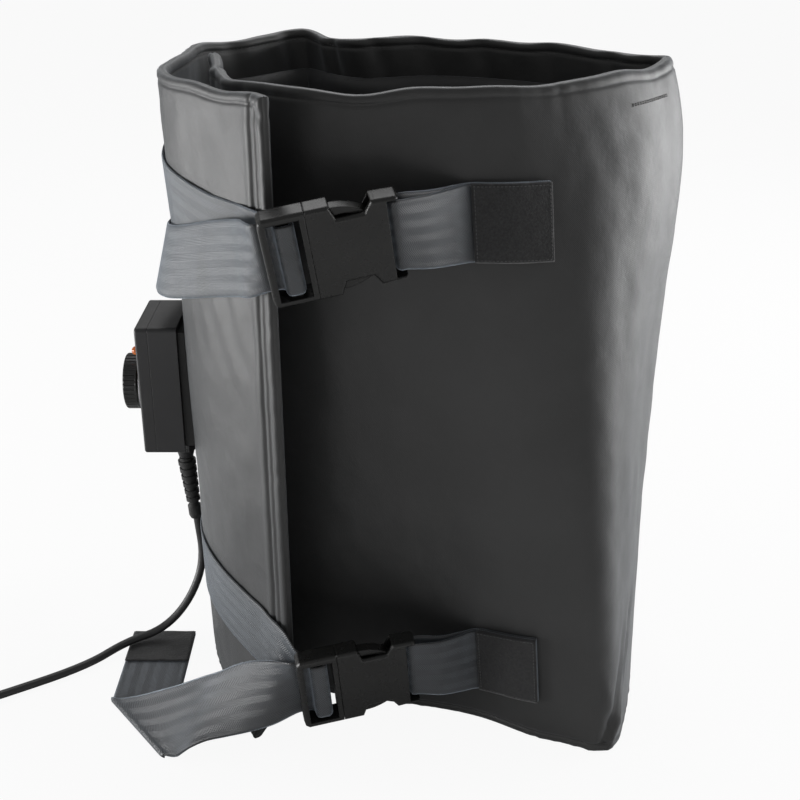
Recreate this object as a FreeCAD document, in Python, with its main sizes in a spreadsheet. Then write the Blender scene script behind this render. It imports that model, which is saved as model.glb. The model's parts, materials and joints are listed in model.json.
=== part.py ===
import FreeCAD, Part
import math
import os
import re
import Sketcher
from FreeCAD import Placement, Rotation, Vector

# Drum heater: a padded heating blanket that stands as a tall open jacket,
# its outer end lapped over its inner end at the front left, with two webbing
# straps, two side-release buckles, a control box on its left wall and a lead.
# Millimetres. +X is to the right, +Y to the back, +Z up. The origin is on the
# floor, at the middle of the space where the drum stands.

doc = FreeCAD.newDocument("drum_heater")

# Driving sizes
SIZES = {
    "jacket_height": (410, "height of the jacket, which is the blanket's width"),
    "blanket_length": (1010, "length of the blanket, measured round the outer face"),
    "cover_thickness": (7, "padded outer cover, away from its sewn edges"),
    "cover_edge": (5.6, "padded outer cover at its sewn edges"),
    "seam_width": (22, "width over which the cover thins towards an edge"),
    "strap_nip": (2.5, "how far the upper strap draws the left wall in"),
    "side_bulge": (12, "how far the right wall bellies out below its rim"),
    "flap_curl": (26, "how far the flap's lower corner curls back to the left"),
    "flap_curl_height": (60, "height over which that corner curls"),
    "mat_thickness": (1.3, "heating mat"),
    "liner_thickness": (1.5, "inner liner"),
    "liner_margin": (25, "from the blanket's edges to the liner's seam"),
    "mat_margin": (34, "from the blanket's edges to the heating mat"),
    "layer_gap": (0.3, "clearance between webbing or patches that lie on each other"),
    "quilt_gap": (1.6, "room between the cover, the mat and the liner"),
    "strap_gap": (1.4, "clearance between webbing and the cover"),
    "webbing_width": (45, "strap webbing"),
    "webbing_thickness": (1.4, "strap webbing"),
    "patch_thickness": (1.3, "gripping patches on the strap ends"),
    "tail_patch_length": (35, "patch on a tail's end, along the strap"),
    "buckle_width": (57, "across the webbing"),
    "buckle_thickness": (12.5, "outer face to wall side"),
    "buckle_round": (2.2, "long outer edges of a buckle"),
    "socket_length": (49.5, "female half of a buckle"),
    "socket_taper": (2.2, "narrowing of each long edge of the socket"),
    "frame_length": (25, "visible frame of the male half"),
    "latch_reach": (34, "how far the male half's arms go into the socket"),
    "buckle_wall": (2.0, "plastic wall beside the latch tunnel"),
    "tunnel_height": (6.6, "latch tunnel, across its flat"),
    "notch_depth": (8.3, "release notch in each long edge of the socket"),
    "notch_start": (12.8, "socket mouth to the release notch"),
    "notch_length": (22, "length of the release notch at the edge"),
    "bar_radius": (1.9, "socket's strap bar"),
    "socket_slot": (42.8, "socket mouth to the slot for its strap"),
    "slot_room": (2.2, "spare width of a strap slot on each side of the webbing"),
    "outer_slot": (6.5, "male half's slot next to its end rail"),
    "inner_slot": (5.5, "male half's slot next to the socket"),
    "rail_width": (4, "end rail of the male half"),
    "rail_depth": (7.4, "end rail of the male half, from the outer face"),
    "ladder_bar": (6, "middle bar of the male half"),
    "ladder_drop": (3.4, "middle bar below the outer face"),
    "buckle_gap": (0.3, "clearance between the two halves of a buckle"),
    "upper_buckle_yaw": (9, "degrees, left end nearer the viewer"),
    "upper_buckle_rise": (9.8, "degrees, right end higher"),
    "upper_buckle_lean": (17, "degrees, upper edge leans out"),
    "lower_buckle_yaw": (12, "degrees, left end nearer the viewer"),
    "lower_buckle_rise": (6, "degrees, right end higher"),
    "lower_buckle_lean": (9.5, "degrees, upper edge leans out"),
    "upper_strap_height": (333, "upper buckle's middle above the floor"),
    "lower_strap_height": (55.4, "lower buckle's middle above the floor"),
    "box_width": (56, "control box, along the wall"),
    "box_height": (88, "control box, upright"),
    "base_depth": (18.4, "control box base, off the wall"),
    "lid_depth": (8.4, "control box lid"),
    "box_wall": (2.2, "control box walls"),
    "box_round": (3, "control box upright corners"),
    "lid_round": (1.6, "edge of the lid's face"),
    "box_back": (154.2, "box back to the middle of the jacket"),
    "box_aside": (15, "box middle behind the jacket's middle"),
    "box_middle": (205.5, "box middle above the floor"),
    "box_lean": (1.5, "degrees, with the wall"),
    "post_radius": (3.6, "screw posts in the corners of the box"),
    "post_inset": (5.2, "screw posts from the outer faces"),
    "screw_radius": (1.3, "lid screw shank"),
    "screw_head_radius": (2.6, "lid screw head"),
    "screw_head_height": (1.8, "lid screw head"),
    "screw_length": (15, "lid screw under its head"),
    "knob_radius": (18.5, "control knob"),
    "knob_thickness": (8.8, "control knob's grip"),
    "knob_standoff": (4, "lid face to the knob's grip"),
    "knob_drop": (3.5, "knob axis below the box's middle"),
    "knob_ribs": (36, "grip ribs round the knob"),
    "hub_radius": (7, "knob's hub"),
    "dial_radius": (22.5, "dial ring on the lid"),
    "dial_thickness": (1.6, "dial ring on the lid"),
    "shaft_radius": (3, "control shaft"),
    "shaft_clearance": (0.05, "control shaft in its bearing"),
    "bush_radius": (5, "threaded bush of the control"),
    "lamp_radius": (3, "pilot lamp lens"),
    "lamp_reach": (6, "pilot lamp lens above the lid"),
    "lamp_aside": (11, "pilot lamp from the knob's axis, towards the front"),
    "lamp_rise": (22.5, "pilot lamp above the box's middle"),
    "lead_aside": (17, "heater lead before the box's middle"),
    "lead_drop": (18, "heater lead below the box's middle"),
    "gland_aside": (13, "cord gland behind the box's middle"),
    "gland_depth": (7.4, "cord gland axis off the box's back"),
    "gland_radius": (7.4, "cord gland nut across its corners"),
    "gland_thread": (4.4, "cord gland's thread in the box wall"),
    "gland_flange": (4.4, "cord gland's flange, along the cord"),
    "gland_nut_length": (22, "cord gland's dome nut"),
    "boot_length": (48, "bend relief below the nut"),
    "boot_radius": (6.2, "bend relief's ribs at the nut"),
    "boot_end_radius": (4.6, "bend relief at its end"),
    "boot_ribs": (6, "ribs of the bend relief"),
    "boot_tilt": (4.3, "degrees, bend relief leans towards the wall"),
    "cord_diameter": (5.6, "power cord"),
    "coil_radius": (33, "coil of spare cord, middle of its turns"),
    "coil_section": (9, "coil of spare cord, half its height"),
    "plug_radius": (18.5, "plug body"),
    "plug_length": (36, "plug body"),
    "plug_neck": (16, "plug's bend relief"),
    "pin_radius": (2.4, "plug pins"),
    "pin_length": (19, "plug pins"),
    "pin_root_radius": (2, "plug pins, inside the plug body"),
    "pin_root_length": (8, "plug pins, inside the plug body"),
    "pin_spacing": (19, "plug pins, centre to centre"),
}

sheet = doc.addObject("Spreadsheet::Sheet", "sizes")
for row, (alias, (value, note)) in enumerate(SIZES.items(), 1):
    sheet.set(f"A{row}", alias)
    sheet.set(f"B{row}", str(value))
    sheet.set(f"C{row}", note)
    sheet.setAlias(f"B{row}", alias)
doc.recompute()


def size(alias):
    return float(sheet.get(alias))


def formula(text):
    """A formula over size names, as an expression on the sheet."""
    return re.sub(r"\b([a-z]+_[a-z_]+)\b", r"sizes.\1", str(text))


def value(text):
    return float(sheet.evalExpression(formula(text)))


def bind(thing, **formulas):
    """Tie properties to formulas; a double underscore stands for a dot."""
    for name, text in formulas.items():
        thing.setExpression(name.replace("__", "."), formula(text))


# Plain solids whose sizes follow the sheet
def block(name, corner, extent):
    """A box from one corner, both given as three formulas."""
    piece = doc.addObject("Part::Box", name)
    bind(piece, Length=extent[0], Width=extent[1], Height=extent[2])
    put(piece, corner)
    return piece


def put(piece, corner, turn=None):
    """Place a piece at a point given as three formulas."""
    if turn:
        piece.Placement = Placement(Vector(0, 0, 0), turn)
    for axis, text in zip("xyz", corner):
        piece.setExpression(f".Placement.Base.{axis}", formula(text))


ALONG_X = Rotation(Vector(0, 1, 0), 90)
ALONG_Y = Rotation(Vector(1, 0, 0), -90)


def rod(name, corner, radius, length, turn=None):
    piece = doc.addObject("Part::Cylinder", name)
    bind(piece, Radius=radius, Height=length)
    put(piece, corner, turn)
    return piece


def cone(name, corner, radius, end_radius, length, turn=None):
    piece = doc.addObject("Part::Cone", name)
    bind(piece, Radius1=radius, Radius2=end_radius, Height=length)
    put(piece, corner, turn)
    return piece


def hexagon(name, corner, radius, length, turn=None):
    piece = doc.addObject("Part::Prism", name)
    piece.Polygon = 6
    bind(piece, Circumradius=radius, Height=length)
    put(piece, corner, turn)
    return piece


def join(name, pieces):
    joined = doc.addObject("Part::MultiFuse", name)
    joined.Shapes = pieces
    joined.Refine = True
    return joined


def cut(name, base, tools):
    tool = tools[0] if len(tools) == 1 else join(name + "_tools", tools)
    result = doc.addObject("Part::Cut", name)
    result.Base = base
    result.Tool = tool
    result.Refine = True
    return result


def soften(name, base, radius, wanted):
    """Round the edges that the test picks."""
    doc.recompute()
    rounded = doc.addObject("Part::Fillet", name)
    rounded.Base = base
    chosen = [n for n, edge in enumerate(base.Shape.Edges, 1) if wanted(edge)]
    rounded.Edges = [(n, value(radius), value(radius)) for n in chosen]
    return rounded


def outline(body, name, corners):
    """A closed sketch on the body's XY plane, its corners given as formulas."""
    plane = next(f for f in body.Origin.OriginFeatures if f.Role == "XY_Plane")
    sketch = body.newObject("Sketcher::SketchObject", name)
    sketch.AttachmentSupport = (plane, [""])
    sketch.MapMode = "FlatFace"
    spots = [Vector(value(x), value(y), 0) for x, y in corners]
    count = len(spots)
    for n in range(count):
        sketch.addGeometry(Part.LineSegment(spots[n], spots[(n + 1) % count]), False)
    for n in range(count):
        link = Sketcher.Constraint("Coincident", n, 2, (n + 1) % count, 1)
        sketch.addConstraint(link)
    for n, (x, y) in enumerate(corners):
        for kind, text, place in (("DistanceX", x, spots[n].x), ("DistanceY", y, spots[n].y)):
            held = sketch.addConstraint(Sketcher.Constraint(kind, -1, 1, n, 1, place))
            sketch.setExpression(f"Constraints[{held}]", formula(text))
    return sketch


def plate(name, corners, thickness):
    """A body padded from an outline, half its thickness each side of XY."""
    body = doc.addObject("PartDesign::Body", name)
    sketch = outline(body, name + "_outline", corners)
    pad = body.newObject("PartDesign::Pad", name + "_pad")
    pad.Profile = sketch
    pad.SideType = "Symmetric"
    bind(pad, Length=thickness)
    return body


# The spiral wall of the jacket. Each line is the plan of the outer face, from
# the inner end, along the front, round the right side and the back, to the
# free edge of the flap. The top line has the creases of the soft rim.
TOP_LINE = [
    (-133, 52), (-124, 8), (-110, -38), (-88, -60), (-62, -76), (-29, -80),
    (8, -72), (41, -66), (75, -51), (99, -36), (120, -17), (139, 6),
    (150, 22), (151, 33), (141, 43), (119, 62), (90, 82), (53, 103),
    (20, 114), (-13, 113), (-39, 106), (-60, 126), (-79, 146), (-98, 134),
    (-119, 109), (-142, 86), (-151, 44), (-154, 11), (-151, -20),
    (-141, -36), (-118, -63), (-97, -86), (-84.5, -102),
]
BOTTOM_LINE = [
    (-124, 46), (-117, 8), (-103, -30), (-78, -50), (-45, -60), (-13, -67),
    (14, -73), (46, -85), (77, -103), (99, -111), (112, -116), (122, -113),
    (131, -97), (141, -62), (150, -15), (151, 35), (126, 82), (75, 112),
    (10, 123), (-58, 118), (-113, 93), (-143, 50), (-147, 10),
    (-140, -22), (-125, -56), (-103, -86), (-82, -109),
]
DRAWN_LENGTH = 1010
BULGE_MIDDLE = 0.38
BULGE_SPREAD = 0.07
NIP_MIDDLE = 0.875
NIP_SPREAD = 0.05
NIP_REACH = 35
NIP_DROP = 33
CURL_START = 0.93


def plan_curve(line):
    scale = size("blanket_length") / DRAWN_LENGTH
    curve = Part.BSplineCurve()
    curve.interpolate([Vector(x * scale, y * scale, 0) for x, y in line])
    return curve


top_curve = plan_curve(TOP_LINE)
bottom_curve = plan_curve(BOTTOM_LINE)


def at_share(curve, share):
    return curve.value(curve.parameterAtDistance(share * curve.length()))


def plan_point(share, height):
    """Outer face of the wall, at a share of the blanket's length."""
    rise = height / size("jacket_height")
    spot = at_share(top_curve, share) * rise + at_share(bottom_curve, share) * (1 - rise)
    belly = math.sin(math.pi * rise**4) * math.exp(-(((share - BULGE_MIDDLE) / BULGE_SPREAD) ** 2))
    nip_along = ((share - NIP_MIDDLE) / NIP_SPREAD) ** 2
    nip_across = ((height - size("upper_strap_height") + NIP_DROP) / NIP_REACH) ** 2
    nip = math.exp(-nip_along - nip_across)
    end = max(0, (share - CURL_START) / (1 - CURL_START))
    low = max(0, 1 - height / size("flap_curl_height")) ** 1.5
    curl = size("flap_curl") * end * low
    right = size("side_bulge") * belly + size("strap_nip") * nip - curl
    return spot + Vector(right, 0.23 * curl, height)


def wall_normal(share, height):
    """Outward direction of the wall, level with the floor."""
    step = 0.006
    before = plan_point(max(0, share - step), height)
    after = plan_point(min(1, share + step), height)
    along = (after - before).normalize()
    return Vector(along.y, -along.x, 0).normalize()


def wall_point(share, height, offset=0.0):
    """A point at an offset outwards from the wall's outer face."""
    return plan_point(share, height) + wall_normal(share, height) * offset


def cover_depth(share, height):
    """Thickness of the cover, which thins towards its sewn edges."""
    rim = min(height, size("jacket_height") - height)
    end = min(share, 1 - share) * size("blanket_length")
    reach = min(1, min(rim, end) / size("seam_width"))
    swell = math.sqrt(1 - (1 - reach) ** 2)
    return size("cover_edge") + (size("cover_thickness") - size("cover_edge")) * swell


def slab(outer, inner):
    """A solid between two grids of points, closed along all four borders."""
    faces = []
    borders = []
    for grid in (outer, inner):
        skin = Part.BSplineSurface()
        skin.interpolate(grid)
        u_first, u_last, v_first, v_last = skin.bounds()
        faces.append(skin.toShape())
        curves = [skin.uIso(u_first), skin.uIso(u_last), skin.vIso(v_first), skin.vIso(v_last)]
        borders.append([curve.toShape() for curve in curves])
    for outer_edge, inner_edge in zip(*borders):
        faces.append(Part.makeRuledSurface(outer_edge, inner_edge))
    return closed(faces)


SEW_TOLERANCE = 0.001


def closed(faces):
    """The solid that a set of faces encloses."""
    shell = Part.Shell(faces)
    shell.sewShape(SEW_TOLERANCE)
    solid = Part.Solid(shell)
    if solid.Volume < 0:
        solid.reverse()
    return solid


def soft(name, shape):
    """A node whose form is a worked-out solid."""
    piece = doc.addObject("Part::Feature", name)
    piece.Shape = shape
    return piece


nodes = []


def finish(piece, label, placement=None):
    """Name a node and set it in its place on the heater."""
    piece.Label = label
    if placement:
        piece.Placement = placement
    nodes.append(piece)
    return piece


# Layers of the blanket, on one net of lines that is finer along its edges
EDGE_LINES = (5, 14, 25, 34)
LENGTH_STEPS = 56
HEIGHT_STEPS = 8


def net_lines(extent, steps):
    """Distances of the net's lines from one edge of the blanket."""
    inner = [extent * n / steps for n in range(1, steps)]
    middle = [line for line in inner if EDGE_LINES[-1] + 5 < line < extent - EDGE_LINES[-1] - 5]
    near = [0.0, *EDGE_LINES]
    return near + middle + [extent - line for line in near[::-1]]


def layer(margin, outer_depth, inner_depth):
    """A sheet of the blanket between two depths, inside an even margin."""
    length = size("blanket_length")
    height = size("jacket_height")
    levels = [z for z in net_lines(height, HEIGHT_STEPS) if margin <= z <= height - margin]
    steps = [
        line / length
        for line in net_lines(length, LENGTH_STEPS)
        if margin <= line <= length - margin
    ]
    outer = [[wall_point(s, z, -outer_depth(s, z)) for z in levels] for s in steps]
    inner = [[wall_point(s, z, -inner_depth(s, z)) for z in levels] for s in steps]
    return slab(outer, inner)


mat_top = size("cover_thickness") + size("quilt_gap")
liner_top = mat_top + size("mat_thickness") + size("quilt_gap")
cover_shape = layer(0, lambda s, z: 0, cover_depth)
mat_shape = layer(
    size("mat_margin"),
    lambda s, z: mat_top,
    lambda s, z: mat_top + size("mat_thickness"),
)
liner_shape = layer(
    size("liner_margin"),
    lambda s, z: liner_top,
    lambda s, z: liner_top + size("liner_thickness"),
)
cover = finish(soft("outer_cover", cover_shape), "outer_cover")
finish(soft("heating_mat", mat_shape), "heating_mat")
finish(soft("inner_liner", liner_shape), "inner_liner")


# Where each buckle sits: X along the strap, Y across it, Z off the wall
def buckle_place(level, seam_x, seam_y):
    yaw = math.radians(size(f"{level}_buckle_yaw"))
    rise = math.radians(size(f"{level}_buckle_rise"))
    lean = math.radians(size(f"{level}_buckle_lean"))
    along = Vector(
        math.cos(yaw) * math.cos(rise),
        math.sin(yaw) * math.cos(rise),
        math.sin(rise),
    )
    across = (Vector(0, 0, 1) - along * along.z).normalize()
    leaned = across * math.cos(lean) + along.cross(across) * math.sin(lean)
    seam = Vector(seam_x, seam_y, size(f"{level}_strap_height"))
    return Placement(seam, Rotation(along, leaned, along.cross(leaned), "ZXY"))


places = {
    "upper": buckle_place("upper", -60, -115.6),
    "lower": buckle_place("lower", -50.8, -116),
}


# Buckle socket, the female half, with its latch tunnel and release notches
def buckle_socket(name, place):
    half = "buckle_width / 2"
    end_half = f"{half} - socket_taper"
    notch_end = "notch_start + notch_length"
    floor = f"{half} - notch_depth"
    upper = [
        ("buckle_gap", half),
        ("notch_start", half),
        ("notch_start + 3.2", floor),
        (f"{notch_end} - 4", floor),
        (notch_end, f"{half} - socket_taper * 0.7"),
        ("socket_length - 1.5", end_half),
        ("socket_length", f"{end_half} - 2"),
    ]
    lower = [(x, f"-({y})") for x, y in upper]
    body = plate(name + "_shell", upper[::-1] + lower, "buckle_thickness")
    rounded = soften(name + "_rounded", body, "buckle_round", is_long_edge)
    tunnel = block(
        name + "_tunnel",
        ("-1", f"buckle_wall - {half}", "-tunnel_height / 2"),
        ("latch_reach + 4", "buckle_width - 2 * buckle_wall", "tunnel_height"),
    )
    slot = block(
        name + "_slot",
        ("socket_slot", "-webbing_width / 2 - slot_room", "-buckle_thickness"),
        ("socket_length", "webbing_width + 2 * slot_room", "2 * buckle_thickness"),
    )
    bar = rod(
        name + "_bar",
        ("socket_length - bar_radius - 0.4", "-webbing_width / 2 - 1.5", "0"),
        "bar_radius",
        "webbing_width + 3",
        ALONG_Y,
    )
    hollow = cut(name + "_hollow", rounded, [tunnel, slot])
    return finish(join(name, [hollow, bar]), name, place)


def is_long_edge(edge):
    """Edges of a plate's two faces along its sides, away from the seam."""
    box = edge.BoundBox
    flat = box.ZLength < 0.01
    beside_seam = abs(box.XMin) < 1 and abs(box.XMax) < 1
    return flat and not beside_seam


# Buckle latch, the male half, with its ladder frame, tongue and spring arms
def latch_arm(side):
    """One spring arm: it bows out to its shoulder and tapers to its tip."""
    shoulder = size("buckle_width") / 2 - size("buckle_wall") - size("buckle_gap")
    reach = size("latch_reach")
    root = size("buckle_width") / 4
    start = size("notch_start")
    middle = (start + reach) / 2

    def arc(*spots):
        return Part.Arc(*[Vector(x, side * y, 0) for x, y in spots])

    def line(*spots):
        return Part.LineSegment(*[Vector(x, side * y, 0) for x, y in spots])

    curves = [
        arc((-1, root + 5), (start * 0.45, root + 6.6), (start, shoulder)),
        arc((start, shoulder), (middle, shoulder - 1.6), (reach, shoulder - 8)),
        line((reach, shoulder - 8), (reach - 2, shoulder - 10.5)),
        arc((reach - 2, shoulder - 10.5), (middle, shoulder - 5.4), (start + 1, shoulder - 5.6)),
        arc((start + 1, shoulder - 5.6), (start * 0.5, root + 1.4), (-1, root)),
        line((-1, root), (-1, root + 5)),
    ]
    face = Part.Face(Part.Wire([curve.toShape() for curve in curves]))
    depth = size("tunnel_height") - 2 * size("buckle_gap")
    arm = face.extrude(Vector(0, 0, depth))
    arm.translate(Vector(0, 0, -depth / 2))
    return arm


def buckle_latch(name, place):
    half = "buckle_width / 2"
    length = "frame_length"
    upper = [
        ("0", half),
        (f"2.6 - {length}", half),
        (f"0.6 - {length}", f"{half} - 2"),
        (f"-{length}", f"{half} - 6"),
    ]
    lower = [(x, f"-({y})") for x, y in upper]
    body = plate(name + "_frame", upper + lower[::-1], "buckle_thickness")
    rounded = soften(name + "_rounded", body, "buckle_round", is_long_edge)
    room = "webbing_width + 2 * slot_room"
    side = "-webbing_width / 2 - slot_room"
    outer_slot = f"rail_width - {length}"
    inner_slot = f"{outer_slot} + outer_slot + ladder_bar"
    deep = "2 * buckle_thickness"
    tools = [
        block(name + "_outer_slot", (outer_slot, side, "-buckle_thickness"), ("outer_slot", room, deep)),
        block(name + "_inner_slot", (inner_slot, side, "-buckle_thickness"), ("inner_slot", room, deep)),
        block(
            name + "_behind_rail",
            (f"-{length} - 1", side, "-buckle_thickness"),
            ("rail_width + outer_slot + ladder_bar + 2", room, "1.5 * buckle_thickness - rail_depth"),
        ),
        block(
            name + "_over_bar",
            (f"{outer_slot} + outer_slot - 1", side, "buckle_thickness / 2 - ladder_drop"),
            ("ladder_bar + 2", room, "buckle_thickness"),
        ),
    ]
    frame = cut(name + "_open_frame", rounded, tools)
    tongue = block(
        name + "_tongue",
        ("-1", "-5", "buckle_gap - tunnel_height / 2"),
        ("latch_reach - 5", "10", "tunnel_height - 2 * buckle_gap"),
    )
    arms = [soft(f"{name}_arm_{tag}", latch_arm(side)) for tag, side in (("up", 1), ("down", -1))]
    return finish(join(name, [frame, tongue, *arms]), name, place)


for level, place in places.items():
    buckle_socket(f"{level}_buckle_socket", place)
    buckle_latch(f"{level}_buckle_latch", place)


# Webbing. A station is the middle of the webbing and the direction across it
webbing = size("webbing_thickness")
gap = size("layer_gap")
on_face = webbing / 2 + size("strap_gap")


def on_buckle(place, along, out, aside=0.0):
    """A station given in a buckle's own directions."""
    across = place.Rotation.multVec(Vector(0, 1, 0))
    return place.multVec(Vector(along, aside, out)), across


def on_wall(share, height, offset, lean=0.0):
    """A station that follows the wall, its lower edge leaning out by degrees."""
    tilt = math.radians(lean)
    reach = size("webbing_width") / 2
    slope = wall_point(share, height + reach) - wall_point(share, height - reach)
    outward = wall_normal(share, height)
    across = slope.normalize() * math.cos(tilt) - outward * math.sin(tilt)
    return wall_point(share, height, offset), across


def between(first, second, share, out=0.0):
    """A station part of the way between two others, pushed to the front."""
    spot = first[0] * (1 - share) + second[0] * share - Vector(0, out, 0)
    across = (first[1] * (1 - share) + second[1] * share).normalize()
    cut_length = [a * (1 - share) + b * share for a, b in zip(first[2:], second[2:])]
    return (spot, across, *cut_length)


def slanted(station):
    """A station cut along its own direction, however the webbing runs there."""
    return (*station[:2], size("webbing_width"))


def along_wall(knots, step=0.0125):
    """Stations on the wall at even steps between knots of the same kind."""
    count = max(2, round(abs(knots[-1][0] - knots[0][0]) / step))
    stations = []
    for n in range(count + 1):
        share = knots[0][0] + (knots[-1][0] - knots[0][0]) * n / count
        for before, after in zip(knots, knots[1:]):
            part = (share - before[0]) / (after[0] - before[0])
            if part <= 1.0001:
                break
        rest = [b + (a - b) * part for b, a in zip(before[1:], after[1:])]
        stations.append(on_wall(share, *rest))
    return stations


def graded(stations):
    """Add stations until no gap is much longer than the one beside it."""
    stations = list(stations)
    n = 0
    while n < len(stations) - 1:
        gaps = [(after[0] - before[0]).Length for before, after in zip(stations, stations[1:])]
        beside = [gaps[m] for m in (n - 1, n + 1) if 0 <= m < len(gaps)]
        if gaps[n] > 2.2 * min(beside):
            stations.insert(n + 1, between(stations[n], stations[n + 1], 0.5))
            n = max(0, n - 1)
        else:
            n += 1
    return stations


def ladder_stations(place, arriving):
    """Behind the frame, up through it, over its middle bar and out again.

    The webbing arrives from a station that lies aside of the buckle's middle
    and comes into line behind the frame.
    """
    rail_end = -size("frame_length")
    half = size("buckle_thickness") / 2
    slot_start = rail_end + size("rail_width")
    bar_start = slot_start + size("outer_slot")
    bar_end = bar_start + size("ladder_bar")
    top = half - size("ladder_drop")
    room = 1.1
    behind = -half - webbing / 2 - room
    inside = half - size("rail_depth") - webbing / 2 - room - 0.3
    clear = webbing / 2 + room
    places_in_frame = [
        (rail_end + 3, behind),
        (slot_start + 4, behind),
        (bar_start + 2, behind),
        (bar_end - 1.6, behind + 0.3),
        (bar_end + clear - 0.4, behind + 2.4),
        (bar_end + clear, inside),
        (bar_end + clear, top - 1.8),
        (bar_end + 0.75 * clear, top + 0.75 * clear - 0.5),
        (bar_end, top + clear),
        ((bar_start + bar_end) / 2, top + clear + 0.2),
        (bar_start, top + clear),
        (bar_start - 0.75 * clear, top + 0.75 * clear - 0.5),
        (bar_start - clear, top - 1.8),
        (bar_start - clear - 0.4, inside + 2.2),
        (slot_start + 2.2, inside + 0.2),
        (rail_end + 1.5, inside),
        (rail_end - 2.5, inside),
    ]
    stations = [on_buckle(place, along, out) for along, out in places_in_frame]
    drift = place.inverse().multVec(arriving[0]).y
    for n, share in enumerate((0.34, 0.13, 0.03, 0)):
        stations[n] = slanted(on_buckle(place, *places_in_frame[n], drift * share))
    return stations


def ribbon(stations, width=size("webbing_width"), thickness=webbing):
    """Webbing through stations; a third value gives a slanted cut's length."""
    middles = [station[0] for station in stations]
    lengths = [0.0]
    for before, after in zip(middles, middles[1:]):
        lengths.append(lengths[-1] + (after - before).Length)
    rows = [[], [], [], []]
    last = len(stations) - 1
    for n, (spot, across, *cut_length) in enumerate(stations):
        along = (middles[min(n + 1, last)] - middles[max(n - 1, 0)]).normalize()
        side = Vector(across).normalize()
        if not cut_length:
            side = (side - along * side.dot(along)).normalize()
        half = side * ((cut_length[0] if cut_length else width) / 2)
        depth = along.cross(side).normalize() * (thickness / 2)
        corners = (half + depth, depth - half, -half - depth, half - depth)
        for row, corner in zip(rows, corners):
            row.append(spot + corner)
    curves = []
    for row in rows:
        curve = Part.BSplineCurve()
        curve.interpolate(Points=row, Parameters=lengths)
        curves.append(curve)
    faces = []
    for start, stop in zip(lengths, lengths[1:]):
        pieces = [curve.copy() for curve in curves]
        for piece in pieces:
            piece.segment(start, stop)
        faces += [strip(pieces[n], pieces[(n + 1) % 4]) for n in range(4)]
    for end in (0, -1):
        loop = [row[end] for row in rows]
        faces.append(Part.Face(Part.makePolygon(loop + loop[:1])))
    return closed(faces)


def strip(first, second):
    """The straight-ruled face between two curves that share their knots."""
    poles = [list(pair) for pair in zip(first.getPoles(), second.getPoles())]
    surface = Part.BSplineSurface()
    surface.buildFromPolesMultsKnots(
        poles,
        first.getMultiplicities(),
        [2, 2],
        first.getKnots(),
        [0, 1],
        False,
        False,
        first.Degree,
        1,
    )
    return surface.toShape()


# Long straps: sewn on at the back, round the left side to the ladder frame
upper_band = along_wall(
    [
        (0.735, 345, on_face), (0.82, 345, on_face), (0.85, 343, on_face),
        (0.87, 341, on_face), (0.89, 336.5, on_face), (0.91, 332.5, on_face),
        (0.93, 329.6, on_face), (0.95, 328, on_face), (0.975, 328, on_face),
    ]
)
upper_band += [on_wall(0.985, 328.3, on_face + 0.8), on_wall(1, 328.5, on_face + 2)]
upper_band[-3:] = [slanted(station) for station in upper_band[-3:]]
upper_tail = along_wall(
    [
        (0.995, 326, 11.5, -6), (0.975, 321, 8.5, -2), (0.95, 314, 6.5, 3),
        (0.925, 306.5, 7.3, 8), (0.905, 301, 9, 13), (0.885, 297, 10.5, 14),
        (0.865, 294, 11.2, 15.5), (0.84, 291, 11, 14.5), (0.815, 289, 9.5, 11), (0.79, 288, 8, 8),
    ],
    0.015,
)
upper_stations = graded(upper_band + ladder_stations(places["upper"], upper_band[-1]) + upper_tail)
finish(soft("upper_strap", ribbon(upper_stations)), "upper_strap")

lower_band = along_wall(
    [
        (0.735, 85, on_face), (0.82, 82, on_face), (0.875, 80.5, on_face),
        (0.9, 79, on_face), (0.925, 77.5, on_face), (0.95, 75.5, on_face), (0.975, 72, on_face),
    ]
)
lower_band += [on_wall(0.985, 70, on_face + 0.8), on_wall(1, 67, on_face + 1.6)]
lower_band[-3:] = [slanted(station) for station in lower_band[-3:]]

# The lower tail drops to the floor, folds under itself and runs to the back.
# Near the fold a station is a slanted cut, from the near edge to the far one
FOLD_MIDDLE = Vector(-184.6, -92.2, 0)
ARRIVING = Vector(-0.966, 0.259, 0)
LEFT_OF_ARRIVING = Vector(0.259, 0.966, 0)
TO_LEFT = Vector(-1, 0, 0)
TO_BACK = Vector(0, 1, 0)
UP = Vector(0, 0, 1)
half_webbing = size("webbing_width") / 2
fold_lead = half_webbing * 1.335
fold_back = half_webbing * 1.29
under = webbing / 2
over = under + webbing + 3 * gap


def cut_station(near, far):
    return (near + far) / 2, far - near, (far - near).Length


def arriving_cut(near_reach, near_height, far_reach, far_height):
    """A cut across the arriving webbing, reaches measured from the fold."""
    near = FOLD_MIDDLE + ARRIVING * near_reach - LEFT_OF_ARRIVING * half_webbing
    far = FOLD_MIDDLE + ARRIVING * far_reach + LEFT_OF_ARRIVING * half_webbing
    return cut_station(near + UP * near_height, far + UP * far_height)


def leaving_cut(near_reach, far_reach, out=0.0, height=under):
    """A cut across the leaving webbing, reaches measured from the fold."""
    near = FOLD_MIDDLE + TO_BACK * near_reach - TO_LEFT * half_webbing
    far = FOLD_MIDDLE + TO_BACK * far_reach + TO_LEFT * half_webbing
    outward = Vector(-0.784, -0.62, 0) * out
    return cut_station(near + outward + UP * height, far + outward + UP * height)


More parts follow.
